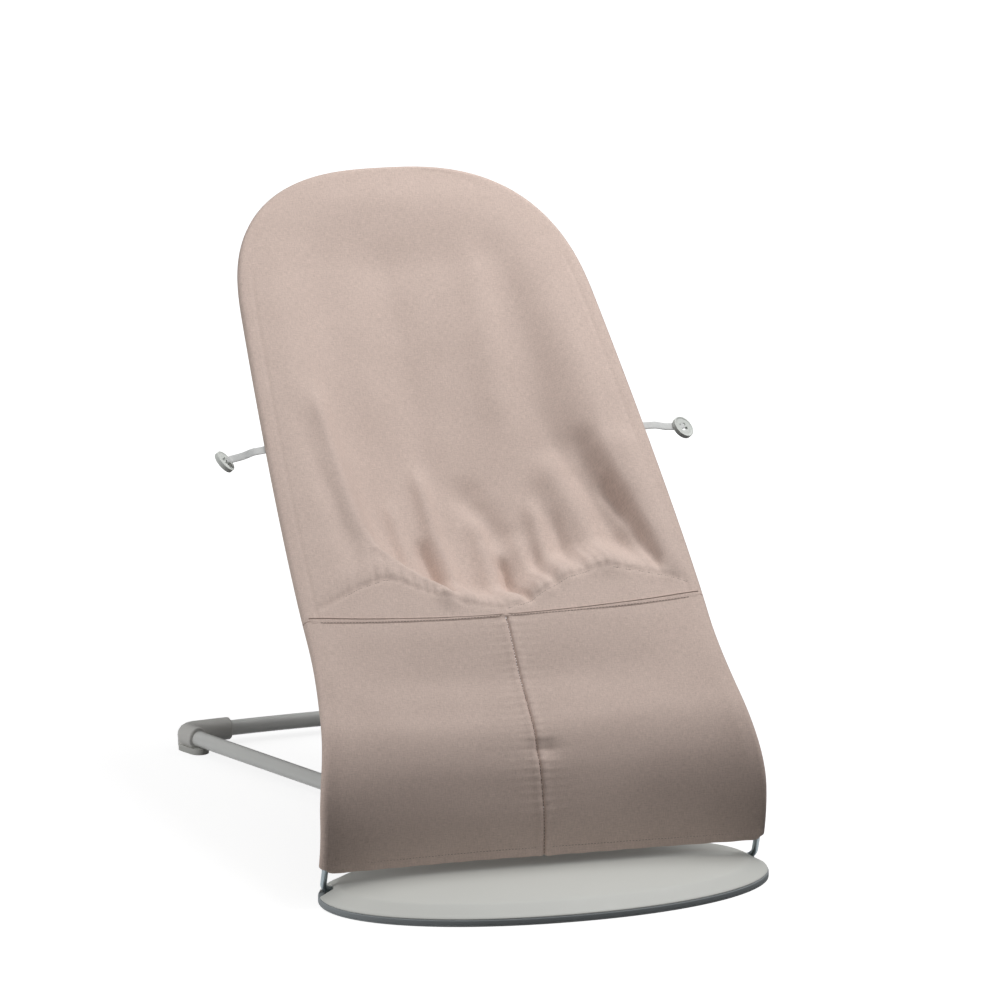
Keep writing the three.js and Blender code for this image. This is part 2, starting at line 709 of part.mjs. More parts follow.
// ---- assembly ----
add('base_pan', basePan(), 'pan');
add('rim_rubber', rimRubber(), 'rubber');
add('plate_shell', plateShell(), 'shell');
add('tube_socket', tubeSocket(), 'moulding');
screwPlaces().forEach(([x, y], i) => {
  add(`screw_post_${i + 1}`, screwPost(x, y), 'pan');
  add(`pan_screw_${i + 1}`, panScrew(x, y), 'steel');
});
add('cross_tube', crossTube(), 'tube');
forBothSides((side, word) => {
  add(`pivot_bush_${word}`, pivotBush(side), 'moulding');
  add(`floor_tube_${word}`, floorTube(side), 'tube');
  add(`elbow_${word}`, elbow(side), 'moulding');
  add(`elbow_foot_${word}`, elbowFoot(side), 'rubber');
  add(`prop_bracket_${word}`, propBracket(side), 'moulding');
  add(`prop_clip_${word}`, propClip(side), 'pan');
});

add('head_bar', across(onProp(0, PROP_L), PROP_X + 9, HEAD_R, 16), 'steel');
forBothSides((side, word) => {
  add(`prop_leg_${word}`, propLeg(side), 'tube');
  add(`head_block_${word}`, headBlock(side), 'moulding');
  add(`head_roller_${word}`, headRoller(side), 'pan');
});

add('cross_wire_lower', crossWire(RACK_S[0]), 'steel');
add('cross_wire_upper', crossWire(RACK_S[1]), 'steel');
forBothSides((side, word) => {
  add(`side_wire_${word}`, sideWire(side), 'steel');
  add(`splice_sleeve_${word}`, spliceSleeve(side), 'pan');
  add(`recline_rack_${word}`, recliningRack(side), 'moulding');
  add(`lower_panel_${word}`, lowerPanel(side), 'cloth');
});
add('seam_band', seamBand(), 'trim');
add('seat_pouch', seatPouch(), 'cloth');
add('back_lower', backLower(), 'cloth');

add('upper_hoop', upperHoop(), 'steel');
add('back_upper', backUpper(), 'cloth');
add('hood_pocket', hoodPocket(), 'cloth');

forBothSides((side, word) => {
  add(`toggle_strap_${word}`, toggleStrap(side), 'webbing');
  add(`toggle_disc_${word}`, toggleDisc(side), 'disc');
});

export default root;
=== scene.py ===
"""Looks of a baby bouncer seat: its pieces and finishes, in metres, in the frame of its CAD model."""

import sys
import logging
import math
from collections.abc import Iterator, Sequence
from contextlib import contextmanager
from dataclasses import dataclass, field
from enum import Enum
from typing import Any

import bpy
import numpy as np
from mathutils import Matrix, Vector, noise


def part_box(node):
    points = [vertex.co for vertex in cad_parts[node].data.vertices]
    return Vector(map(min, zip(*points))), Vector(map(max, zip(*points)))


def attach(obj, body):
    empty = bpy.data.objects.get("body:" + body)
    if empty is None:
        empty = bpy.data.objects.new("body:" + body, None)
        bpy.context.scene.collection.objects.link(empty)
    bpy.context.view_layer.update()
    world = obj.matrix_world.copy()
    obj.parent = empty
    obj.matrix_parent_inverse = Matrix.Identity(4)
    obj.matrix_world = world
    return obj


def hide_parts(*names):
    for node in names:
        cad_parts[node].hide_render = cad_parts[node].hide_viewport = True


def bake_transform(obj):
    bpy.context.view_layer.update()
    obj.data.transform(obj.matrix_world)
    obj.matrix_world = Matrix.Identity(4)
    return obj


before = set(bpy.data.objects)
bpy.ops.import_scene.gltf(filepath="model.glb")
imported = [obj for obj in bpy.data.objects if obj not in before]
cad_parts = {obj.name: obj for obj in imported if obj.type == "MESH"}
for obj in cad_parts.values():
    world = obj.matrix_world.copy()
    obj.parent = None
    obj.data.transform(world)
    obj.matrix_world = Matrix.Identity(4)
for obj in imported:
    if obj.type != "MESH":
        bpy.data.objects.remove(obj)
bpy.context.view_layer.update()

log = logging.getLogger("bouncer")

Point = tuple[float, float, float]
Colour = tuple[float, float, float, float]


class Side(Enum):
    """A side of the seat, as seen from its front."""

    LEFT = -1
    RIGHT = 1

    @property
    def word(self) -> str:
        """The side's name, as the CAD nodes have it."""
        return self.name.lower()


def smooth(x: float) -> float:
    """A step from 0 to 1 with level ends."""
    c = min(1.0, max(0.0, x))
    return c * c * (3 - 2 * c)


def read_off(line: Sequence[tuple[float, float]], x: float) -> float:
    """The value at x of a line through points, each an x and its value."""
    return float(np.interp(x, [p[0] for p in line], [p[1] for p in line]))


def eased(knots: Sequence[Vector], steps: int) -> list[Vector]:
    """A smooth curve through knots.

    Args:
        knots: The points that it passes through.
        steps: How many points each stretch between two knots gets.

    Returns:
        The curve's points.
    """
    points = []
    for i in range(len(knots) - 1):
        a, b, c, d = knots[max(0, i - 1)], knots[i], knots[i + 1], knots[min(len(knots) - 1, i + 2)]
        for step in range(steps):
            u = step / steps
            lean, bent, twist = c - a, 2 * a - 5 * b + 4 * c - d, 3 * b - a - 3 * c + d
            points.append(0.5 * (2 * b + lean * u + bent * u**2 + twist * u**3))
    points.append(knots[-1])
    return points


class Run:
    """A line of points, read off by the length run along it."""

    def __init__(self, points: Sequence[Vector]) -> None:
        """Measures a line.

        Args:
            points: Its points, in order.
        """
        self.marks = [0.0]
        for a, b in zip(points, points[1:]):
            self.marks.append(self.marks[-1] + (b - a).length)
        self.axes = [np.array([p[i] for p in points]) for i in range(3)]

    @property
    def long(self) -> float:
        """The whole length."""
        return self.marks[-1]

    def at(self, length: float) -> Vector:
        """The place at a length along the line."""
        return Vector([float(np.interp(length, self.marks, axis)) for axis in self.axes])


def rgb(red: int, green: int, blue: int) -> Colour:
    """A colour from its 8-bit display values.

    Args:
        red, green, blue: The display values, from 0 to 255.

    Returns:
        The linear colour, with an alpha of one.
    """
    def linear(value: int) -> float:
        """One channel, made linear."""
        c = value / 255
        return c / 12.92 if c <= 0.04045 else ((c + 0.055) / 1.055) ** 2.4

    return linear(red), linear(green), linear(blue), 1.0


# ---- the seat's line ----


@dataclass(frozen=True)
class SeatLine:
    """The side profile and spread of the spring wire: t runs along it from the hinge, s up the back."""

    hinge: tuple[float, float] = (0.015, 0.009)
    back_angle: float = math.radians(34.8)
    front_lean: float = math.radians(24)
    bend_r: float = 0.095
    back_d: float = 0.097
    back_half: float = 0.1715
    seam_s: float = 0.208
    seam_sag: float = 0.005
    split_s: float = 0.5
    split_half: float = 0.035
    hoop_s: float = 0.56
    top_s: float = 0.727
    arch_power: float = 2.7
    wire_x: float = 0.189
    wire_r: float = 0.0028
    flare: float = 0.0175
    flare_z: tuple[float, float] = (0.075, 0.195)
    taper: float = 0.013
    taper_length: float = 0.312
    pivot_xs: tuple[float, ...] = (0.153, 0.168, 0.174)
    turn_r: float = 0.007
    point_gap: float = 0.008

    def heading(self, angle: float) -> tuple[float, float]:
        """A unit direction in the side view."""
        return math.cos(angle), math.sin(angle)

    @property
    def off_back(self) -> Vector:
        """The direction that the back faces."""
        return Vector((0, *self.heading(self.back_angle + math.pi / 2)))

    @property
    def riser(self) -> float:
        """Length of the straight wire between the hinge and the bend.

        Returns:
            The length.
        """
        into = math.cos(self.front_lean - self.back_angle - math.pi / 2)
        up = math.cos(self.front_lean - self.back_angle)
        return (self.back_d - self.bend_r - self.bend_r * into) / up

    @property
    def bend_length(self) -> float:
        """Length of wire in the bend."""
        return self.bend_r * (math.pi / 2 + self.front_lean - self.back_angle)

    @property
    def bend_centre(self) -> tuple[float, float]:
        """Middle of the bend in the side view.

        Returns:
            Its y and z.
        """
        up = self.heading(math.pi / 2 + self.front_lean)
        into = self.heading(self.front_lean)
        return tuple(h + self.riser * u + self.bend_r * i for h, u, i in zip(self.hinge, up, into))

    @property
    def bend_end_s(self) -> float:
        """Height on the back at which the bend ends.

        Returns:
            The height.
        """
        c, s = self.heading(self.back_angle)
        y, z = self.bend_centre
        return (y - self.hinge[0]) * c + (z - self.hinge[1]) * s

    def length_at(self, s: float) -> float:
        """Length along the wire at a height on the back."""
        return self.riser + self.bend_length + s - self.bend_end_s

    def height_at(self, t: float) -> float:
        """Height on the back at a length along the wire."""
        return t - self.riser - self.bend_length + self.bend_end_s

    def on_back(self, s: float, d: float) -> tuple[float, float]:
        """The y and z of a point s up the back and d off the hinge's line."""
        c, n = self.heading(self.back_angle)
        return self.hinge[0] + s * c - d * n, self.hinge[1] + s * n + d * c

    def profile(self, t: float, off: float = 0) -> tuple[float, float]:
        """The y and z of a point of the side profile.

        Args:
            t: Length along the wire from the hinge.
            off: Distance off the wire's centre, towards the face.

        Returns:
            The point's y and z.
        """
        if t < self.riser:
            up = self.heading(math.pi / 2 + self.front_lean)
            into = self.heading(self.front_lean)
            return tuple(h + t * u - off * i for h, u, i in zip(self.hinge, up, into))
        if t < self.riser + self.bend_length:
            angle = math.pi + self.front_lean - (t - self.riser) / self.bend_r
            y, z = self.bend_centre
            reach = self.bend_r + off
            return y + reach * math.cos(angle), z + reach * math.sin(angle)
        return self.on_back(self.height_at(t), self.back_d + off)

    def facing(self, t: float) -> Vector:
        """The direction that the cloth faces at length t.

        Args:
            t: Length along the wire.

        Returns:
            A unit direction.
        """
        y0, z0 = self.profile(t)
        y1, z1 = self.profile(t, 0.001)
        return Vector((0, y1 - y0, z1 - z0)).normalized()

    def spread(self, t: float) -> float:
        """Half spread of the wires at length t.

        Args:
            t: Length along the wire.

        Returns:
            The distance from the middle to a wire: wider near the floor, and drawn in up the back.
        """
        s = self.height_at(t)
        z = self.profile(t)[1]
        start, end = self.flare_z
        low = self.flare * (1 - smooth((z - start) / (end - start)))
        taper = self.taper * max(0.0, (s - self.seam_s) / self.taper_length) ** 1.5
        return self.back_half + low - taper

    def arch_spread(self, s: float) -> float:
        """Half spread at height s on the back, closed by the top arch."""
        over = min(1.0, max(0.0, (s - self.hoop_s) / (self.top_s - self.hoop_s)))
        return self.spread(self.length_at(s)) * (1 - over**self.arch_power) ** (1 / self.arch_power)

    def bounce_band(self) -> tuple[Point, Point]:
        """Where cloth and wire start to follow the back, and where they follow it alone."""
        heights = self.split_s - self.split_half, self.split_s + self.split_half
        return tuple((0, *self.on_back(s, self.back_d)) for s in heights)

    def seam_at(self, x: float) -> float:
        """Height of the cross seam at x: it sags a little in the middle."""
        return self.seam_s - self.seam_sag * (1 - min(1.0, abs(x) / self.back_half) ** 2)

    def wire(self, side: Side, upto: float) -> list[Vector]:
        """Points of the wire from its pivot to a height on the back.

        Args:
            side: Which wire.
            upto: The height at which the points end.

        Returns:
            The points, closer together in the bends.
        """
        k = side.value
        points = [Vector((k * x, *self.hinge)) for x in self.pivot_xs]
        for i in range(1, 7):
            a = i / 6 * math.pi / 2
            x = self.wire_x - self.turn_r + self.turn_r * math.sin(a)
            points.append(Vector((k * x, *self.profile(self.turn_r * (1 - math.cos(a))))))
        t, last = 2 * self.turn_r, self.length_at(upto)
        while t < last - self.point_gap / 2:
            points.append(Vector((k * self.spread(t), *self.profile(t))))
            t += self.point_gap
        points.append(Vector((k * self.spread(last), *self.profile(last))))
        return points

    def arch(self, count: int) -> list[Vector]:
        """Points of the top arch, from the left springing to the right one.

        Args:
            count: How many steps the arch has.

        Returns:
            The points, one more than the steps.
        """
        points = []
        for i in range(count + 1):
            a = math.pi * i / count
            lift = math.sin(a) ** (2 / self.arch_power) if 0 < i < count else 0.0
            s = self.hoop_s + (self.top_s - self.hoop_s) * lift
            x = -math.copysign(self.arch_spread(s), math.cos(a))
            if i * 2 == count:
                x = 0.0
            points.append(Vector((x, *self.on_back(s, self.back_d))))
        return points


LINE = SeatLine()


# ---- shader nodes ----


class Sock:
    """A node's output that takes part in sums."""

    def __init__(self, graph: "Graph", socket: bpy.types.NodeSocket) -> None:
        """Wraps a socket of a graph."""
        self.graph = graph
        self.socket = socket

    def _sum(self, operation: str, first: Any, second: Any = None) -> "Sock":
        """Adds a Math node."""
        inputs = {0: first} if second is None else {0: first, 1: second}
        return self.graph.out("ShaderNodeMath", {"operation": operation}, inputs)

    def __add__(self, other: Any) -> "Sock":
        """Self plus other."""
        return self._sum("ADD", self, other)

    def __radd__(self, other: Any) -> "Sock":
        """Other plus self."""
        return self._sum("ADD", other, self)

    def __sub__(self, other: Any) -> "Sock":
        """Self minus other."""
        return self._sum("SUBTRACT", self, other)

    def __rsub__(self, other: Any) -> "Sock":
        """Other minus self."""
        return self._sum("SUBTRACT", other, self)

    def __mul__(self, other: Any) -> "Sock":
        """Self times other."""
        return self._sum("MULTIPLY", self, other)

    def __rmul__(self, other: Any) -> "Sock":
        """Other times self."""
        return self._sum("MULTIPLY", other, self)

    def swing(self, amount: float) -> "Sock":
        """Noise turned into a swing of an amount about zero."""
        return (self - 0.5) * amount

    def sine(self) -> "Sock":
        """The sine of self."""
        return self._sum("SINE", self)

    def clamped(self) -> "Sock":
        """Self kept between 0 and 1."""
        return self.graph.out("ShaderNodeClamp", {}, {"Value": self})

    def above(self, edge: float, width: float) -> "Sock":
        """A soft step from 0 to 1 about an edge."""
        inputs = {"Value": self, "From Min": edge - width, "From Max": edge + width}
        return self.graph.out("ShaderNodeMapRange", {"interpolation_type": "SMOOTHSTEP"}, inputs)


class Graph:
    """The nodes of one material or world."""

    def __init__(self, tree: bpy.types.NodeTree) -> None:
        """Empties a node tree to build in."""
        self.tree = tree
        tree.nodes.clear()

    def node(self, kind: str, settings: dict[str, Any], inputs: dict[Any, Any]) -> bpy.types.Node:
        """Adds any node.

        Args:
            kind: The node's type.
            settings: Its own settings, which are set first.
            inputs: Values or Socks for its inputs, by name or number.

        Returns:
            The node.
        """
        node = self.tree.nodes.new(kind)
        for key, value in settings.items():
            setattr(node, key, value)
        for key, value in inputs.items():
            if isinstance(value, Sock):
                self.tree.links.new(value.socket, node.inputs[key])
            else:
                node.inputs[key].default_value = value
        return node

    def out(self, kind: str, settings: dict[str, Any], inputs: dict[Any, Any], which: Any = 0) -> Sock:
        """Adds any node and takes one of its outputs."""
        return Sock(self, self.node(kind, settings, inputs).outputs[which])

    def place(self) -> Sock:
        """Object coordinates."""
        return self.out("ShaderNodeTexCoord", {}, {}, "Object")

    def flat_place(self) -> tuple[Sock, Sock]:
        """The two lengths of the cloth's own flat layout, in metres.

        Returns:
            The lengths across and along the cloth.
        """
        flat = self.out("ShaderNodeUVMap", {"uv_map": "flat"}, {})
        split = self.node("ShaderNodeSeparateXYZ", {}, {0: flat})
        return Sock(self, split.outputs[0]), Sock(self, split.outputs[1])

    def at(self, x: Any, y: Any, z: Any = 0.0) -> Sock:
        """A place from three numbers."""
        return self.out("ShaderNodeCombineXYZ", {}, {0: x, 1: y, 2: z})

    def grain(self, where: Sock, scale: float, detail: float = 2.0) -> Sock:
        """Noise from 0 to 1 at a scale of cells to the metre."""
        return self.out("ShaderNodeTexNoise", {}, {"Vector": where, "Scale": scale, "Detail": detail}, 0)

    def mixed(self, share: Any, first: Any, second: Any) -> Sock:
        """A colour between two."""
        return self.out("ShaderNodeMix", {"data_type": "RGBA"}, {0: share, 6: first, 7: second}, 2)

    def bump(self, height: Sock, strength: float, distance: float) -> Sock:
        """A normal from a height."""
        return self.out("ShaderNodeBump", {}, {"Strength": strength, "Distance": distance, "Height": height})

    def finish(self, inputs: dict[str, Any]) -> None:
        """Ends the graph in a Principled shader."""
        shader = self.out("ShaderNodeBsdfPrincipled", {}, inputs)
        self.node("ShaderNodeOutputMaterial", {}, {"Surface": shader})


# ---- finishes ----


@dataclass(frozen=True)
class Finish:
    """A material with a name and a base colour."""

    name: str
    colour: Colour

    def toned(self, share: float) -> Colour:
        """The base colour times a share: below one, darker."""
        return tuple(c * share for c in self.colour[:3]) + (1.0,)

    def shade(self, graph: Graph) -> None:
        """Builds the finish's nodes."""
        raise NotImplementedError

    def material(self) -> bpy.types.Material:
        """The finish's material, made on first use.

        Returns:
            The material.
        """
        found = bpy.data.materials.get(self.name)
        if found is None:
            found = bpy.data.materials.new(self.name)
            found.use_nodes = True
            found.diffuse_color = self.colour
            self.shade(Graph(found.node_tree))
        return found

    def dress(self, *pieces: bpy.types.Object) -> None:
        """Gives pieces this finish in all their slots.

        Args:
            pieces: The pieces.
        """
        for piece in pieces:
            if not piece.material_slots:
                piece.data.materials.append(None)
            for slot in piece.material_slots:
                slot.material = self.material()


@dataclass(frozen=True)
class WovenCloth(Finish):
    """A soft melange cotton: fine crossed threads with slubs, and faint clouds of tone."""

    shade_colour: Colour = (0.2, 0.2, 0.2, 1.0)
    pitch: float = 0.0011

    def shade(self, graph: Graph) -> None:
        """Builds threads, slubs and clouds from the cloth's flat layout.

        Args:
            graph: The graph to build in.
        """
        u, v = graph.flat_place()
        warp = graph.grain(graph.at(u * 1500, v * 170), 1.0, 3.0)
        weft = graph.grain(graph.at(u * 190, v * 1300, 5.0), 1.0, 3.0)
        clouds = graph.grain(graph.at(u, v, 2.0), 26.0, 3.0)
        fluff = graph.grain(graph.at(u, v, 9.0), 700.0, 2.0)
        turn = 2 * math.pi / self.pitch
        weave = (u * turn).sine() * (v * turn).sine()
        slubs = warp * 0.5 + weft * 0.5
        share = (slubs.swing(2.2) + clouds.swing(0.35) + fluff.swing(0.6) + 0.5).clamped()
        graph.finish({
            "Base Color": graph.mixed(share, self.shade_colour, self.colour),
            "Roughness": 0.8 + slubs * 0.14,
            "Specular IOR Level": 0.2,
            "Sheen Weight": 0.18,
            "Sheen Roughness": 0.45,
            "Normal": graph.bump(weave * 0.35 + slubs + fluff * 0.4, 0.4, 0.0004),
        })


@dataclass(frozen=True)
class Thread(Finish):
    """Twisted sewing thread."""

    def shade(self, graph: Graph) -> None:
        """Builds the twist from object coordinates.

        Args:
            graph: The graph to build in.
        """
        fibre = graph.grain(graph.place(), 2200.0)
        dark = self.toned(0.7)
        graph.finish({
            "Base Color": graph.mixed(fibre, dark, self.colour),
            "Roughness": 0.7 + fibre * 0.2,
            "Normal": graph.bump(fibre, 0.4, 0.0001),
        })


@dataclass(frozen=True)
class Webbing(Finish):
    """Flat woven webbing with ribs across it and bound edges."""

    def shade(self, graph: Graph) -> None:
        """Builds the ribs from the strap's flat layout.

        Args:
            graph: The graph to build in.
        """
        u, v = graph.flat_place()
        ribs = (u * 5200).sine()
        cords = (v * 7800).sine()
        dust = graph.grain(graph.at(u, v), 900.0)
        dark = self.toned(0.74)
        share = (0.62 + ribs * cords * 0.22 + dust.swing(0.5)).clamped()
        graph.finish({
            "Base Color": graph.mixed(share, dark, self.colour),
            "Roughness": 0.75 + dust * 0.15,
            "Normal": graph.bump(ribs * 0.5 + cords * 0.3 + dust * 0.4, 0.5, 0.0003),
        })


@dataclass(frozen=True)
class MouldedPlastic(Finish):
    """Spark-textured moulded plastic with faint flow clouds and rubbed patches."""

    grain_scale: float = 1300.0
    grain_depth: float = 0.00012
    gloss: float = 0.5

    def shade(self, graph: Graph) -> None:
        """Builds the spark texture, clouds and rubbed patches.

        Args:
            graph: The graph to build in.
        """
        where = graph.place()
        spark = graph.grain(where, self.grain_scale, 3.0)
        clouds = graph.grain(where, 9.0, 4.0)
        rubbed = graph.grain(where, 55.0, 5.0).above(0.62, 0.08)
        dark = self.toned(0.9)
        share = (0.6 + clouds.swing(0.7) + spark.swing(0.5)).clamped()
        graph.finish({
            "Base Color": graph.mixed(share, dark, self.colour),
            "Roughness": self.gloss + spark.swing(0.14) - rubbed * 0.07,
            "Specular IOR Level": 0.42,
            "Normal": graph.bump(spark, 0.35, self.grain_depth),
        })


@dataclass(frozen=True)
class SoftRubber(Finish):
    """Matt elastomer with a fine bloom and a little lint."""

    def shade(self, graph: Graph) -> None:
        """Builds the bloom and lint.

        Args:
            graph: The graph to build in.
        """
        where = graph.place()
        bloom = graph.grain(where, 30.0, 4.0)
        lint = graph.grain(where, 1600.0, 2.0)
        dark = self.toned(0.72)
        share = (0.55 + bloom.swing(0.6) + lint.swing(0.6)).clamped()
        graph.finish({
            "Base Color": graph.mixed(share, dark, self.colour),
            "Roughness": 0.82 + lint.swing(0.15),
            "Specular IOR Level": 0.3,
            "Normal": graph.bump(lint, 0.4, 0.0002),
        })


@dataclass(frozen=True)
class PowderCoat(Finish):
    """Light powder coat with orange peel."""

    def shade(self, graph: Graph) -> None:
        """Builds the orange peel and its fine flecks.

        Args:
            graph: The graph to build in.
        """
        where = graph.place()
        peel = graph.grain(where, 620.0, 2.0)
        fleck = graph.grain(where, 2600.0, 1.0)
        clouds = graph.grain(where, 14.0, 3.0)
        dark = self.toned(0.88)
        share = (0.6 + fleck.swing(0.6) + clouds.swing(0.5)).clamped()
        graph.finish({
            "Base Color": graph.mixed(share, dark, self.colour),
            "Roughness": 0.38 + peel.swing(0.12),
            "Coat Weight": 0.15 + clouds * 0.1,
            "Coat Roughness": 0.25,
            "Normal": graph.bump(peel, 0.3, 0.00022),
        })


@dataclass(frozen=True)
class DrawnSteel(Finish):
    """Zinc-plated steel with drawing marks and a cool bloom."""

    stretch: tuple[float, float, float] = (900.0, 300.0, 300.0)
    gloss: float = 0.3

    def shade(self, graph: Graph) -> None:
        """Builds the marks and the bloom.

        Args:
            graph: The graph to build in.
        """
        where = graph.place()
        scaled = graph.out("ShaderNodeVectorMath", {"operation": "MULTIPLY"}, {0: where, 1: self.stretch})
        marks = graph.grain(scaled, 1.0, 3.0)
        bloom = graph.grain(where, 60.0, 4.0)
        dark = self.toned(0.6)
        share = (0.5 + marks.swing(0.9) + bloom.swing(0.7)).clamped()
        graph.finish({
            "Base Color": graph.mixed(share, dark, self.colour),
            "Metallic": 0.9 - bloom * 0.2,
            "Roughness": self.gloss + bloom.swing(0.2),
            "Normal": graph.bump(marks, 0.2, 0.0001),
        })


@dataclass(frozen=True)
class StudioPaper(Finish):
    """The pale matt sheet that the seat stands on, lit a little from below."""

    glow: float = 0.75
    far_glow: float = 1.0

    def shade(self, graph: Graph) -> None:
        """Builds a matt white with the faintest tooth, which glows more towards its far part.

        Args:
            graph: The graph to build in.
        """
        tooth = graph.grain(graph.place(), 400.0)
        away = graph.out("ShaderNodeVectorMath", {"operation": "LENGTH"}, {0: graph.place()}, 1)
        bright = self.toned(self.far_glow / self.glow)
        grey = self.toned(0.985)
        tone = graph.mixed(tooth, grey, self.colour)
        graph.finish({
            "Base Color": tone,
            "Roughness": 0.95,
            "Specular IOR Level": 0.0,
            "Emission Color": graph.mixed(away.above(1.25, 0.55), self.colour, bright),
            "Emission Strength": self.glow,
        })


class Finishes:
    """All finishes of the seat."""

    cloth = WovenCloth("cotton_cloth", rgb(232, 211, 200), shade_colour=rgb(198, 178, 168))
    trim = WovenCloth("cotton_trim", rgb(227, 206, 195), shade_colour=rgb(193, 173, 163), pitch=0.0008)
    # Thread colour: the thread's own tone, darkened with painted shade for the shadow along the stitched seams.
    thread = Thread("sewing_thread_painted_shade", rgb(150, 130, 121))
    webbing = Webbing("grey_webbing", rgb(228, 229, 228))
    shell = MouldedPlastic("plate_plastic", rgb(217, 218, 213), gloss=0.52)
    moulding = MouldedPlastic("grey_moulding", rgb(212, 211, 207), gloss=0.55, grain_scale=1000.0)
    hidden = MouldedPlastic("underside_plastic", rgb(160, 162, 158), gloss=0.62, grain_scale=800.0)
    disc = MouldedPlastic("toggle_plastic", rgb(200, 203, 195), gloss=0.42, grain_scale=1800.0)
    rubber = SoftRubber("grey_rubber", rgb(168, 174, 177))
    foot = SoftRubber("light_foot_rubber", rgb(206, 206, 201))
    tube = PowderCoat("light_powder_coat", rgb(224, 225, 222))
    wire = DrawnSteel("spring_wire_steel", rgb(176, 188, 194))
    screw = DrawnSteel("screw_steel", rgb(205, 205, 205), stretch=(1500.0, 1500.0, 300.0), gloss=0.25)
    paper = StudioPaper("studio_paper", (0.40, 0.40, 0.40, 1.0), glow=2.02, far_glow=2.4)


# ---- workshop ----


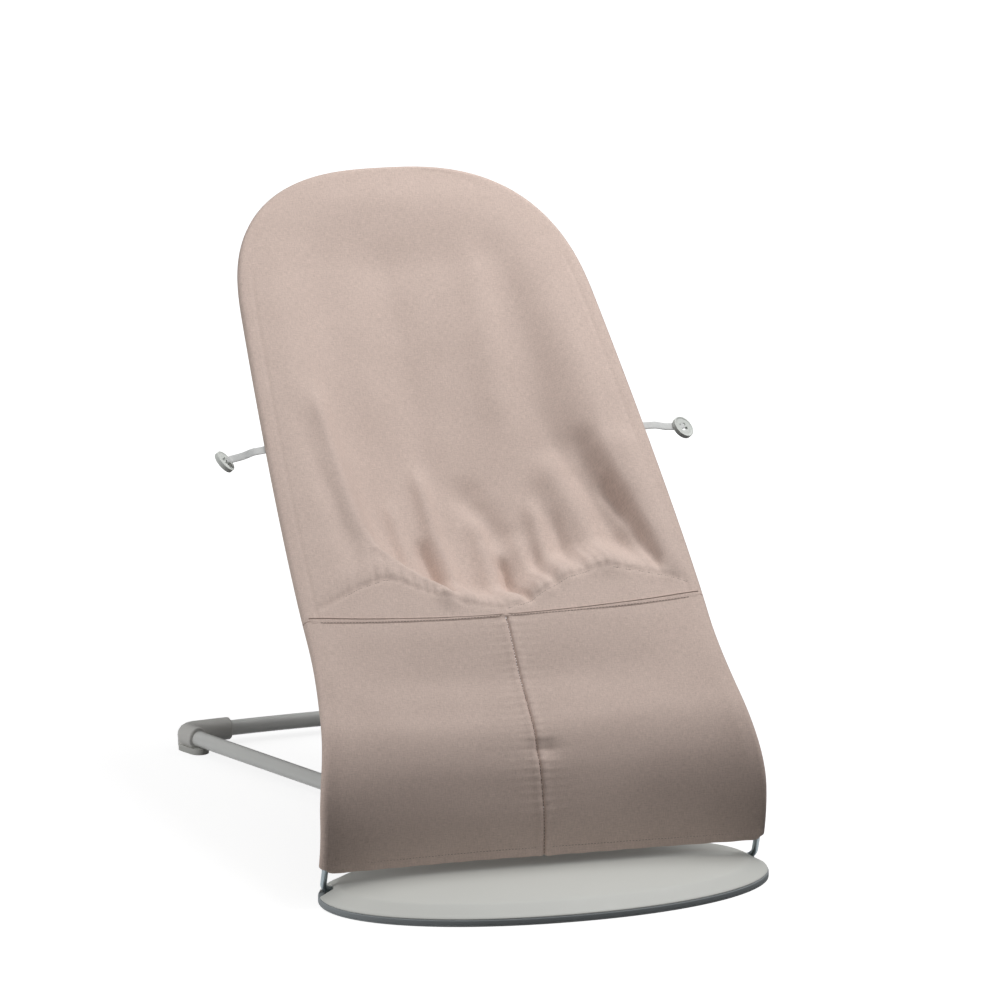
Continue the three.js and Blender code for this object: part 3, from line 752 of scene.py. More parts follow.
class Bench:
    """Modelling steps that most pieces share."""

    @staticmethod
    def clear() -> None:
        """Leaves every object unselected."""
        if bpy.context.object and bpy.context.object.mode != "OBJECT":
            bpy.ops.object.mode_set(mode="OBJECT")
        bpy.ops.object.select_all(action="DESELECT")

    @staticmethod
    def linked(name: str, data: Any) -> bpy.types.Object:
        """A new object in the scene, from a mesh, curve, lamp or camera.

        Args:
            name: Its name.
            data: What it shows.

        Returns:
            The object.
        """
        piece = bpy.data.objects.new(name, data)
        bpy.context.scene.collection.objects.link(piece)
        return piece

    @staticmethod
    def point(piece: bpy.types.Object, place: Vector, way: Vector) -> None:
        """Puts an object at a place, with its own Z axis pointing a way.

        Args:
            piece: The object.
            place: Where it goes.
            way: The way that its Z axis points.
        """
        piece.location = place
        piece.rotation_mode = "QUATERNION"
        piece.rotation_quaternion = way.to_track_quat("Z", "Y")

    @staticmethod
    def hold(piece: bpy.types.Object) -> None:
        """Makes a piece the only selected and active one.

        Args:
            piece: The piece.
        """
        Bench.clear()
        piece.select_set(True)
        bpy.context.view_layer.objects.active = piece

    @staticmethod
    @contextmanager
    def editing(piece: bpy.types.Object, mode: str = "EDGE") -> Iterator[None]:
        """Edit mode on a piece, with everything in it selected.

        Args:
            piece: The piece.
            mode: What is picked in it: VERT, EDGE or FACE.
        """
        Bench.hold(piece)
        bpy.ops.object.mode_set(mode="EDIT")
        bpy.ops.mesh.select_mode(type=mode)
        bpy.ops.mesh.select_all(action="SELECT")
        yield
        bpy.ops.object.mode_set(mode="OBJECT")

    @staticmethod
    def settle(piece: bpy.types.Object) -> None:
        """Puts the piece's place into its mesh."""
        Bench.hold(piece)
        bpy.ops.object.transform_apply(location=True, rotation=True, scale=True)

    @staticmethod
    def modify(piece: bpy.types.Object, kind: str, **settings: Any) -> None:
        """Adds a modifier with its settings and applies it.

        Args:
            piece: The piece.
            kind: The modifier's type.
            settings: The modifier's own settings.
        """
        Bench.hold(piece)
        modifier = piece.modifiers.new(kind.lower(), kind)
        for key, value in settings.items():
            setattr(modifier, key, value)
        bpy.ops.object.modifier_apply(modifier=modifier.name)

    @staticmethod
    def smooth_edges(piece: bpy.types.Object, angle: float = 35.0) -> None:
        """Shades smooth up to an angle in degrees."""
        Bench.hold(piece)
        bpy.ops.object.shade_smooth_by_angle(angle=math.radians(angle))

    @staticmethod
    def merged(piece: bpy.types.Object, closed: bool = True) -> None:
        """Merges doubles, and turns a closed shape's faces outwards.

        Args:
            piece: The piece.
            closed: Whether its shape is closed.
        """
        with Bench.editing(piece, "VERT"):
            bpy.ops.mesh.remove_doubles(threshold=0.000005)
            if closed:
                bpy.ops.mesh.normals_make_consistent(inside=False)

    @staticmethod
    def joined(name: str, pieces: Sequence[bpy.types.Object]) -> bpy.types.Object:
        """One object made of several.

        Args:
            name: The object's name.
            pieces: What it is made of.

        Returns:
            The object.
        """
        Bench.clear()
        for piece in pieces:
            piece.select_set(True)
        bpy.context.view_layer.objects.active = pieces[0]
        bpy.ops.object.join()
        pieces[0].name = name
        return pieces[0]

    @staticmethod
    def block(low: Point, high: Point, bevel: float) -> bpy.types.Object:
        """A rounded block for cutting with.

        Args:
            low: Its lowest corner.
            high: Its highest corner.
            bevel: Width of the rounding along its edges.

        Returns:
            The block.
        """
        Bench.clear()
        centre = [(a + b) / 2 for a, b in zip(low, high)]
        size = [b - a for a, b in zip(low, high)]
        bpy.ops.mesh.primitive_cube_add(size=1, location=centre, scale=size)
        block = bpy.context.object
        Bench.settle(block)
        with Bench.editing(block):
            bpy.ops.mesh.bevel(offset=bevel, segments=3)
        return block

    @staticmethod
    def cut(piece: bpy.types.Object, block: bpy.types.Object) -> None:
        """Cuts a block out of a piece and puts the block away."""
        Bench.modify(piece, "BOOLEAN", operation="DIFFERENCE", solver="EXACT", object=block)
        bpy.data.objects.remove(block, do_unlink=True)

    @staticmethod
    def tube(
        name: str, points: Sequence[Vector], radius: float, radii: Sequence[float] | None = None, sides: int = 6
    ) -> bpy.types.Object:
        """A round bar along points, with closed ends.

        Args:
            name: The piece's name.
            points: Its centreline.
            radius: Its radius.
            radii: Shares of the radius at each point, where it varies.
            sides: Roundness of the section: a quarter of its sides, less one.

        Returns:
            The bar, as a mesh.
        """
        curve = bpy.data.curves.new(name, "CURVE")
        curve.dimensions = "3D"
        curve.bevel_depth = radius
        curve.bevel_resolution = sides
        curve.use_fill_caps = True
        line = curve.splines.new("POLY")
        line.points.add(len(points) - 1)
        for i, point in enumerate(points):
            line.points[i].co = (*point, 1.0)
            line.points[i].radius = 1.0 if radii is None else radii[i]
        Bench.hold(Bench.linked(name, curve))
        bpy.ops.object.convert(target="MESH")
        piece = bpy.context.object
        Bench.merged(piece)
        Bench.smooth_edges(piece, 50)
        return piece

    @staticmethod
    def softened(node: str, name: str, width: float, finish: Finish, body: str, slot: str) -> bpy.types.Object:
        """A CAD part with rounded edges, in place of the node.

        Args:
            node: The CAD node.
            name: The new piece's name.
            width: Width of the rounding.
            finish: Its finish.
            body: The body it rides on.
            slot: Its material slot.

        Returns:
            The new piece.
        """
        piece = Bench.linked(name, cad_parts[node].data.copy())
        Bench.merged(piece, closed=False)
        with Bench.editing(piece, "FACE"):
            bpy.ops.mesh.dissolve_limited(angle_limit=math.radians(2))
        Bench.modify(
            piece, "BEVEL", width=width, segments=2, limit_method="ANGLE", angle_limit=math.radians(38),
            use_clamp_overlap=True,
        )
        Bench.smooth_edges(piece)
        return Bench.fitted(piece, finish, body, slot, node)

    @staticmethod
    def softened_on(side: Side, node: str, name: str, width: float, finish: Finish, body: str, slot: str) -> None:
        """A softened part of one side: the side's word ends the node's name and the piece's."""
        Bench.softened(f"{node}_{side.word}", f"{name}_{side.word}", width, finish, body, slot)

    @staticmethod
    def fitted(
        piece: bpy.types.Object, finish: Finish, body: str | None, slot: str, *nodes: str
    ) -> bpy.types.Object:
        """Dresses a finished piece and hands it to its body.

        Args:
            piece: The piece.
            finish: Its finish.
            body: The body it rides on, or None.
            slot: Not used.
            nodes: The CAD nodes that it stands for.

        Returns:
            The piece.
        """
        finish.dress(piece)
        if nodes:
            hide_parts(*nodes)
        if body:
            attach(piece, body)
        log.info("%s: %d faces, rides on %s", piece.name, len(piece.data.polygons), body or "two bodies")
        return piece


# ---- cloth ----


@dataclass
class ClothMesh:
    """Grids of points of one sheet, gathered before its mesh is made."""

    points: list[Vector] = field(default_factory=list)
    flats: list[tuple[float, float]] = field(default_factory=list)
    faces: list[tuple[int, ...]] = field(default_factory=list)

    def grid(
        self, rows: Sequence[Sequence[Vector]], flats: Sequence[Sequence[tuple[float, float]]], out: Vector
    ) -> None:
        """Adds a grid.

        Args:
            rows: Its points.
            flats: Their places in the flat cloth.
            out: The way that its middle faces.
        """
        first = len(self.points)
        wide = len(rows[0])
        faces = []
        for j in range(len(rows) - 1):
            for i in range(wide - 1):
                a = first + j * wide + i
                faces.append((a, a + 1, a + wide + 1, a + wide))
        j, i = len(rows) // 2, wide // 2
        across = rows[j][i] - rows[j][i - 1]
        along = rows[j][i] - rows[j - 1][i]
        if across.cross(along).dot(out) < 0:
            faces = [face[::-1] for face in faces]
        self.faces += faces
        for row, flat in zip(rows, flats):
            self.points += row
            self.flats += flat

    def build(self, name: str, thickness: float) -> bpy.types.Object:
        """Makes the sheet's mesh, with its wall behind its face.

        Args:
            name: The piece's name.
            thickness: The cloth's thickness.

        Returns:
            The piece.
        """
        mesh = bpy.data.meshes.new(name)
        mesh.from_pydata(self.points, [], self.faces)
        layer = mesh.uv_layers.new(name="flat")
        for loop in mesh.loops:
            layer.data[loop.index].uv = self.flats[loop.vertex_index]
        piece = Bench.linked(name, mesh)
        Bench.merged(piece, closed=False)
        Bench.modify(piece, "SOLIDIFY", thickness=thickness, offset=-1.0, use_even_offset=False)
        Bench.smooth_edges(piece, 60)
        return piece


@dataclass(frozen=True)
class Fold:
    """A long soft ridge or valley in the cloth, along points given as (x, s)."""

    points: tuple[tuple[float, float], ...]
    height: float
    width: float
    fade: float = 0.03

    def at(self, x: float, s: float) -> float:
        """Its height at a place on the back.

        Args:
            x: Distance to the right.
            s: Height on the back.

        Returns:
            The height that it adds.
        """
        low = min(p[1] for p in self.points)
        high = max(p[1] for p in self.points)
        if not low - self.fade < s < high + self.fade:
            return 0.0
        middle = read_off(sorted((p[1], p[0]) for p in self.points), s)
        ends = smooth((s - low + self.fade) / self.fade) * smooth((high + self.fade - s) / self.fade)
        return self.height * ends * math.exp(-(((x - middle) / self.width) ** 2))


@dataclass
class SeatCover:
    """The cloth of the seat and back: one sheet, turned round the wire, with a hollow, gathers and folds."""

    radius: float = 0.0056
    wall: float = 0.0014
    turn_back: float = 0.016
    border_step: float = 0.0028
    columns: int = 94
    depth: float = 0.042
    gather_left: tuple[tuple[float, float], ...] = (
        (-0.175, 0.2115), (-0.146, 0.229), (-0.121, 0.243), (-0.097, 0.251), (-0.085, 0.248), (-0.069, 0.238),
        (-0.054, 0.229), (-0.030, 0.218), (0.0, 0.211),
    )
    gather_right: tuple[tuple[float, float], ...] = (
        (0.0, 0.211), (0.018, 0.215), (0.039, 0.227), (0.065, 0.241), (0.084, 0.246), (0.102, 0.247),
        (0.127, 0.241), (0.147, 0.234), (0.175, 0.219),
    )
    shoulder_left: tuple[tuple[float, float], ...] = (
        (0.229, 0.060), (0.247, 0.070), (0.275, 0.082), (0.293, 0.089), (0.314, 0.095), (0.343, 0.099),
        (0.410, 0.103), (0.500, 0.102), (0.669, 0.090),
    )
    shoulder_right: tuple[tuple[float, float], ...] = (
        (0.240, 0.144), (0.281, 0.137), (0.334, 0.126), (0.394, 0.113), (0.500, 0.105), (0.669, 0.092),
    )
    folds: tuple[Fold, ...] = (
        Fold(((0.113, 0.392), (0.121, 0.357), (0.130, 0.325)), -0.0062, 0.0100, 0.03),
        Fold(((0.124, 0.345), (0.134, 0.310), (0.140, 0.278), (0.145, 0.254)), -0.0052, 0.0047, 0.02),
        Fold(((0.146, 0.38), (0.155, 0.30), (0.160, 0.25)), 0.0028, 0.012),
        Fold(((0.083, 0.372), (0.093, 0.334), (0.100, 0.293), (0.102, 0.270)), 0.0060, 0.0150, 0.04),
        Fold(((0.021, 0.285), (0.022, 0.249), (0.025, 0.226)), -0.0075, 0.0045, 0.018),
        Fold(((0.038, 0.30), (0.040, 0.245)), 0.0032, 0.0080, 0.03),
        Fold(((0.008, 0.33), (0.005, 0.24)), 0.0045, 0.0095, 0.03),
        Fold(((0.006, 0.365), (0.022, 0.325)), -0.0050, 0.0140, 0.03),
        Fold(((-0.047, 0.304), (-0.043, 0.278), (-0.040, 0.250)), -0.0070, 0.0055, 0.022),
        Fold(((-0.034, 0.372), (-0.033, 0.323), (-0.028, 0.288), (-0.026, 0.245)), 0.0058, 0.0085, 0.04),
        Fold(((-0.066, 0.34), (-0.062, 0.285)), 0.0034, 0.0070, 0.03),
        Fold(
            (
                (-0.112, 0.44), (-0.108, 0.378), (-0.105, 0.343), (-0.101, 0.314), (-0.092, 0.288),
                (-0.074, 0.266), (-0.054, 0.246), (-0.045, 0.238),
            ),
            0.0055, 0.0085, 0.05,
        ),
        Fold(((-0.131, 0.42), (-0.120, 0.30)), -0.0030, 0.0100, 0.06),
        Fold(((0.074, 0.32), (0.077, 0.262)), -0.0030, 0.0055, 0.025),
        Fold(((0.058, 0.332), (0.058, 0.292), (0.059, 0.258)), 0.0042, 0.0075, 0.03),
        Fold(((0.049, 0.29), (0.050, 0.245)), -0.0022, 0.0045, 0.02),
        Fold(((-0.060, 0.62), (-0.070, 0.48)), 0.0026, 0.018, 0.06),
        Fold(((-0.020, 0.60), (-0.024, 0.42)), -0.0020, 0.015, 0.06),
        Fold(((0.060, 0.60), (0.052, 0.47)), 0.0026, 0.016, 0.06),
        Fold(((0.088, 0.59), (0.096, 0.50)), -0.0020, 0.015, 0.06),
    )

    def gather_at(self, x: float) -> float:
        """Height of the gathered seams at x."""
        return read_off(self.gather_left if x < 0 else self.gather_right, x)

    def gathers(self, x: float, rise: float) -> float:
        """Small folds that rise from the gathered seams.

        Args:
            x: Distance to the right.
            rise: Distance above the seam.

        Returns:
            Their height.
        """
        if rise < 0:
            return 0.0
        warp = noise.noise(Vector((x * 38, 1.7, rise * 6)))
        phase = x / 0.0098 + warp * 1.6 + rise * math.copysign(7, x)
        long = 0.012 + 0.022 * (0.5 + 0.5 * noise.noise(Vector((x * 55, 8.1, 0))))
        wave = abs(math.sin(math.pi * phase)) ** 0.8 - 0.55
        strength = 0.0021 * (0.9 + 0.7 * noise.noise(Vector((x * 23, 4.2, 0))))
        sides = 1 - smooth((abs(x) - 0.13) / 0.03)
        return strength * wave * smooth(rise / 0.004) * math.exp(-rise / long) * sides

    def relief(self, x: float, s: float) -> float:
        """How far the cloth's face stands off its flat stretch over the wires.

        Args:
            x: Distance to the right.
            s: Height on the back.

        Returns:
            The distance, below zero where it sinks.
        """
        half = max(0.02, LINE.arch_spread(min(s, LINE.top_s - 0.001)))
        share = min(1.0, abs(x) / half)
        gather = self.gather_at(x)
        rise = s - gather
        into = smooth((rise + 0.003) / 0.058)
        out = 1 - 0.66 * smooth((s - 0.31) / 0.34) - 0.34 * smooth((s - 0.615) / 0.085)
        shoulder = read_off(self.shoulder_left if x < 0 else self.shoulder_right, s)
        width = (0.020 if x < 0 else 0.015) + 0.016 * smooth((s - 0.34) / 0.15)
        step = 1 - smooth((abs(x) - shoulder + width) / (2 * width))
        bowl = smooth(1 - share / 0.95)
        hollow = self.depth * into * out * (0.46 * bowl + 0.54 * step * smooth((1 - share) / 0.12))
        shelf = 0.0042 * (1 - share**2) * (1 - smooth(rise / 0.02))
        crease = 0.0011 * math.exp(-(((rise - 0.0004) / 0.0018) ** 2)) * (1 - smooth((share - 0.9) / 0.08))
        puff = 0.0006 * math.exp(-(((rise - 0.007) / 0.006) ** 2)) * (1 - share**4)
        folds = sum(fold.at(x, s) for fold in self.folds) * smooth((s - LINE.seam_at(x)) / 0.030)
        rib = -0.0008 * math.exp(-(((half - abs(x) - 0.0075) / 0.0011) ** 2)) * (s < LINE.hoop_s + 0.05)
        drift = 0.0011 * noise.noise(Vector((x * 17, s * 9, 0.3))) * smooth((1 - share) / 0.2)
        edge = smooth((1 - share) / 0.05)
        face = puff - hollow - shelf - crease + folds * edge + self.gathers(x, rise) + drift
        return face * min(1.0, edge * 1.2) + rib

    def border(self) -> list[tuple[Vector, float, float]]:
        """The wire's line from the right end of the seam to the apex: points with their x and s.

        Returns:
            The points, evenly spaced.
        """
        dense: list[tuple[float, float]] = []
        for i in range(400):
            s = LINE.seam_s + (LINE.hoop_s - LINE.seam_s) * i / 400
            dense.append((LINE.arch_spread(s), s))
        for i in range(601):
            a = i / 600 * math.pi / 2
            s = LINE.hoop_s + (LINE.top_s - LINE.hoop_s) * math.sin(a) ** (2 / LINE.arch_power)
            dense.append((LINE.arch_spread(s) if i < 600 else 0.0, s))
        along = [0.0]
        for (x0, s0), (x1, s1) in zip(dense, dense[1:]):
            along.append(along[-1] + math.hypot(x1 - x0, s1 - s0))
        count = round(along[-1] / self.border_step)
        marks = np.linspace(0, along[-1], count + 1)
        xs = np.interp(marks, along, [p[0] for p in dense])
        ss = np.interp(marks, along, [p[1] for p in dense])
        return [(Vector((x, *LINE.on_back(s, LINE.back_d))), float(x), float(s)) for x, s in zip(xs, ss)]

    def halves(self, sheet: ClothMesh, border: Sequence[tuple[Vector, float, float]]) -> None:
        """Adds the two halves of the face, each a grid from the border to the middle line.

        Args:
            sheet: The sheet to add them to.
            border: The border's points with their x and s.
        """
        last = len(border) - 1
        for side in Side:
            rows, flats = [], []
            for k, (_, x, s) in enumerate(border):
                centre = self.centre_s(s, k / last)
                row, flat = [], []
                for j in range(self.columns + 1):
                    share = j / self.columns
                    px = side.value * x * (1 - share)
                    ps = s + (centre - s) * share
                    if k == 0:
                        ps = LINE.seam_at(px)
                    off = self.radius + self.relief(px, ps)
                    row.append(Vector((px, *LINE.on_back(ps, LINE.back_d + off))))
                    flat.append((px, ps))
                rows.append(row)
                flats.append(flat)
            sheet.grid(rows, flats, LINE.off_back)

    def centre_s(self, s: float, share: float) -> float:
        """Where on the middle line a row that starts at height s on the border ends.

        Args:
            s: Height at which the row starts.
            share: How far along the border that is, from 0 to 1.

        Returns:
            The height at its end.
        """
        low = LINE.seam_s - LINE.seam_sag
        top = 0.655
        even = low + (top - low) * share
        bound = min(1.0, max(0.0, (s - LINE.seam_s) / (LINE.hoop_s - LINE.seam_s)))
        straight = s - LINE.seam_sag * (1 - bound)
        mix = smooth((share - 0.25) / 0.75)
        return straight * (1 - mix) + even * mix

    def turning(self, sheet: ClothMesh, border: Sequence[tuple[Vector, float, float]]) -> None:
        """Adds the strip that turns round the wire and runs back behind it.

        Args:
            sheet: The sheet to add it to.
            border: The border's points with their x and s.
        """
        loop = [(Vector((-p.x, p.y, p.z)), -x, s) for p, x, s in border]
        loop += reversed(border[:-1])
        off = LINE.off_back
        rows, flats = [], []
        for k, (point, x, s) in enumerate(loop):
            before, after = loop[max(0, k - 1)][0], loop[min(len(loop) - 1, k + 1)][0]
            out = (after - before).normalized().cross(off).normalized()
            if out.x * x < 0 or (abs(x) < 0.02 and out.z < 0):
                out = -out
            row, flat = [], []
            front = self.radius + self.relief(x, s)
            for i in range(9):
                a = i / 8 * math.pi
                lift = front if i == 0 else self.radius
                row.append(point + out * self.radius * math.sin(a) + off * lift * math.cos(a))
                flat.append((x + out.x * self.radius * a, s + out.z * self.radius * a))
            for i in range(1, 5):
                back = self.turn_back * i / 4
                row.append(point - out * back - off * self.radius)
                reach = self.radius * math.pi + back
                flat.append((x + out.x * reach, s + out.z * reach))
            rows.append(row)
            flats.append(flat)
        middle = rows[len(rows) // 2][len(rows[0]) // 2] - loop[len(rows) // 2][0]
        sheet.grid(rows, flats, middle)

    def build(self) -> bpy.types.Object:
        """Makes the cover.

        Returns:
            The cover.
        """
        sheet = ClothMesh()
        border = self.border()
        self.halves(sheet, border)
        self.turning(sheet, border)
        piece = sheet.build("seat_cover", self.wall)
        Bench.fitted(piece, Finishes.cloth, None, "seat_cloth", "seat_pouch", "back_lower", "back_upper")
        start, end = LINE.bounce_band()
        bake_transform(piece)
        return piece


@dataclass
class LowerPanels:
    """The two cloth panels between the seam and the hem, sewn together down the middle."""

    radius: float = 0.0056
    wall: float = 0.0014
    hem_t: float = 0.023
    corner: float = 0.006
    hem_width: float = 0.007
    rows: int = 92
    columns: int = 66
    turn_back: float = 0.015

    def foot(self, x: float, half: float) -> float:
        """Length along the wire at which the panel starts at x: its corner is round."""
        near = max(0.0, abs(x) - (half - self.corner)) / self.corner
        return self.hem_t + self.corner * 0.5 * (1 - math.sqrt(max(0.0, 1 - min(1.0, near) ** 2)))

    def relief(self, x: float, t: float, low: float, high: float, half: float) -> float:
        """How far the panel's face stands off its flat stretch.

        Args:
            x: Distance to the right.
            t: Length along the wire.
            low: Where the panel starts.
            high: Where it ends.
            half: Half spread of the wires.

        Returns:
            The distance, below zero where it sinks.
        """
        share = min(1.0, abs(x) / half)
        across = 1 - min(1.0, share / 0.95) ** 2.4
        sag = 0.0125 * smooth((t - low + 0.02) / 0.09) * (1 - 0.62 * smooth((t - high + 0.07) / 0.07))
        seam = -0.0016 * math.exp(-((x / 0.0011) ** 2)) + 0.0007 * math.exp(-(((abs(x) - 0.004) / 0.003) ** 2))
        pucker = 0.0005 * math.sin(t / 0.0075 * 2 * math.pi + 2 * noise.noise(Vector((t * 60, x * 30, 0))))
        pucker *= math.exp(-abs(x) / 0.012)
        pinch = -0.003 * math.exp(-((x - 0.006) / 0.012) ** 2 - ((t - 0.118) / 0.008) ** 2)
        drag = 0.0013 * noise.noise(Vector((x * 9, t * 30, 3.3))) * across
        hem = 0.0007 * (1 - smooth((t - low - self.hem_width + 0.0006) / 0.0012))
        stitched = -0.0006 * math.exp(-(((t - low - self.hem_width) / 0.0009) ** 2))
        wave = 0.0003 * math.sin(x / 0.013 * math.pi) * math.exp(-(t - low) / 0.012)
        return -sag * across + seam + pucker + pinch + drag + hem + stitched + wave

    def panel(self, side: Side) -> bpy.types.Object:
        """One panel, turned round its wire.

        Args:
            side: Which panel.

        Returns:
            The piece.
        """
        rows, flats = [], []
        for j in range(self.rows + 1):
            row, flat = [], []
            for i in range(self.columns + 13):
                share = (1 - math.cos(min(i, self.columns) / self.columns * math.pi)) / 2
                guess = self.hem_t + (LINE.length_at(LINE.seam_s) - self.hem_t) * j / self.rows
                half = LINE.spread(guess)
                x = 0.0002 + share * (half - 0.0002)
                low = self.foot(x, half)
                high = LINE.length_at(LINE.seam_at(x)) - 0.0006
                t = low + (high - low) * j / self.rows
                half = LINE.spread(t)
                x = 0.0002 + share * (half - 0.0002)
                if i <= self.columns:
                    off = self.radius + self.relief(side.value * x, t, low, high, half)
                    row.append(Vector((side.value * x, *LINE.profile(t, off))))
                    flat.append((side.value * x, t))
                    continue
                step = i - self.columns
                facing = LINE.facing(t)
                wire = Vector((side.value * half, *LINE.profile(t)))
                out = Vector((side.value, 0, 0))
                a = min(step, 8) / 8 * math.pi
                back = self.turn_back * max(0, step - 8) / 4
                row.append(wire + out * (self.radius * math.sin(a) - back) + facing * self.radius * math.cos(a))
                flat.append((side.value * (half + self.radius * a + back), t))
            rows.append(row)
            flats.append(flat)
        sheet = ClothMesh()
        sheet.grid(rows, flats, self.outward(rows[len(rows) // 2][len(rows[0]) // 2]))
        piece = sheet.build(f"lower_cloth_{side.word}", self.wall)
        Bench.fitted(piece, Finishes.cloth, "seat", "seat_cloth", f"lower_panel_{side.word}")
        return piece

    def outward(self, point: Vector) -> Vector:
        """Which way the cloth faces at a point: away from the middle of the bend."""
        return point - Vector((point.x, *LINE.bend_centre))

    def build(self, trims: dict[Side, list[bpy.types.Object]]) -> None:
        """Makes both panels.

        Args:
            trims: What is sewn to each panel; not used.
        """
        for side in Side:
            piece = self.panel(side)


@dataclass
class HoodPocket:
    """The pocket behind the top arch, which holds the cover on the wire."""

    low_s: float = 0.606
    wall: float = 0.0014
    behind: float = 0.0064
    rows: int = 40
    columns: int = 80

    def build(self) -> bpy.types.Object:
        """Makes the pocket and hands it to the back.

        Returns:
            The pocket.
        """
        rows, flats = [], []
        high = LINE.top_s - 0.004
        for j in range(self.rows + 1):
            v = j / self.rows
            s = self.low_s + (high - self.low_s) * math.sin(v * math.pi / 2)
            row, flat = [], []
            for i in range(self.columns + 1):
                share = 0.985 * math.sin((2 * i / self.columns - 1) * math.pi / 2)
                half = LINE.arch_spread(s)
                x = share * half
                dip = (0.006 * (1 - v) + 0.004) * (1 - abs(share) ** 2.6)
                hem = 0.0008 * (1 - smooth((s - self.low_s - 0.009) / 0.0015))
                groove = -0.0006 * math.exp(-(((s - self.low_s - 0.009) / 0.001) ** 2))
                drag = 0.0012 * noise.noise(Vector((x * 14, s * 22, 6.1))) * (1 - share**2)
                off = -self.behind - dip - hem - groove - drag
                row.append(Vector((x, *LINE.on_back(s, LINE.back_d + off))))
                flat.append((x, s))
            rows.append(row)
            flats.append(flat)
        sheet = ClothMesh()
        sheet.grid(rows, flats, -LINE.off_back)
        piece = sheet.build("hood_pocket_cloth", self.wall)
        Bench.fitted(piece, Finishes.cloth, "back", "seat_cloth", "hood_pocket")
        return piece


@dataclass
class Stitches:
    """Rows of raised thread stitches, each a short six-sided bead."""

    pitch: float = 0.0028
    long: float = 0.0022
    radius: float = 0.00026
    rings: tuple[tuple[float, float], ...] = ((0.0, 0.35), (0.25, 1.0), (0.75, 1.0), (1.0, 0.35))

    def row(self, name: str, line: Sequence[Vector], body: str) -> bpy.types.Object:
        """A row of stitches along a line.

        Args:
            name: The piece's name.
            line: The points that it follows.
            body: The body it rides on.

        Returns:
            The row, as one piece.
        """
        run = Run(line)
        points, faces = [], []
        for n in range(int(run.long / self.pitch)):
            start, end = run.at(n * self.pitch), run.at(n * self.pitch + self.long)
            forward = (end - start).normalized()
            side = forward.orthogonal().normalized()
            up = forward.cross(side)
            first = len(points)
            for share, size in self.rings:
                middle = start.lerp(end, share)
                for k in range(6):
                    a = k * math.pi / 3
                    points.append(middle + (side * math.cos(a) + up * math.sin(a)) * self.radius * size)
            last = first + 6 * (len(self.rings) - 1)
            for ring in range(first, last, 6):
                for k in range(6):
                    a, b = ring + k, ring + (k + 1) % 6
                    faces.append((a, b, b + 6, a + 6))
            faces.append(tuple(first + k for k in range(5, -1, -1)))
            faces.append(tuple(last + k for k in range(6)))
        mesh = bpy.data.meshes.new(name)
        mesh.from_pydata(points, [], faces)
        piece = Bench.linked(name, mesh)
        Bench.merged(piece)
        Bench.smooth_edges(piece, 80)
        return Bench.fitted(piece, Finishes.thread, body, "seam_trim")


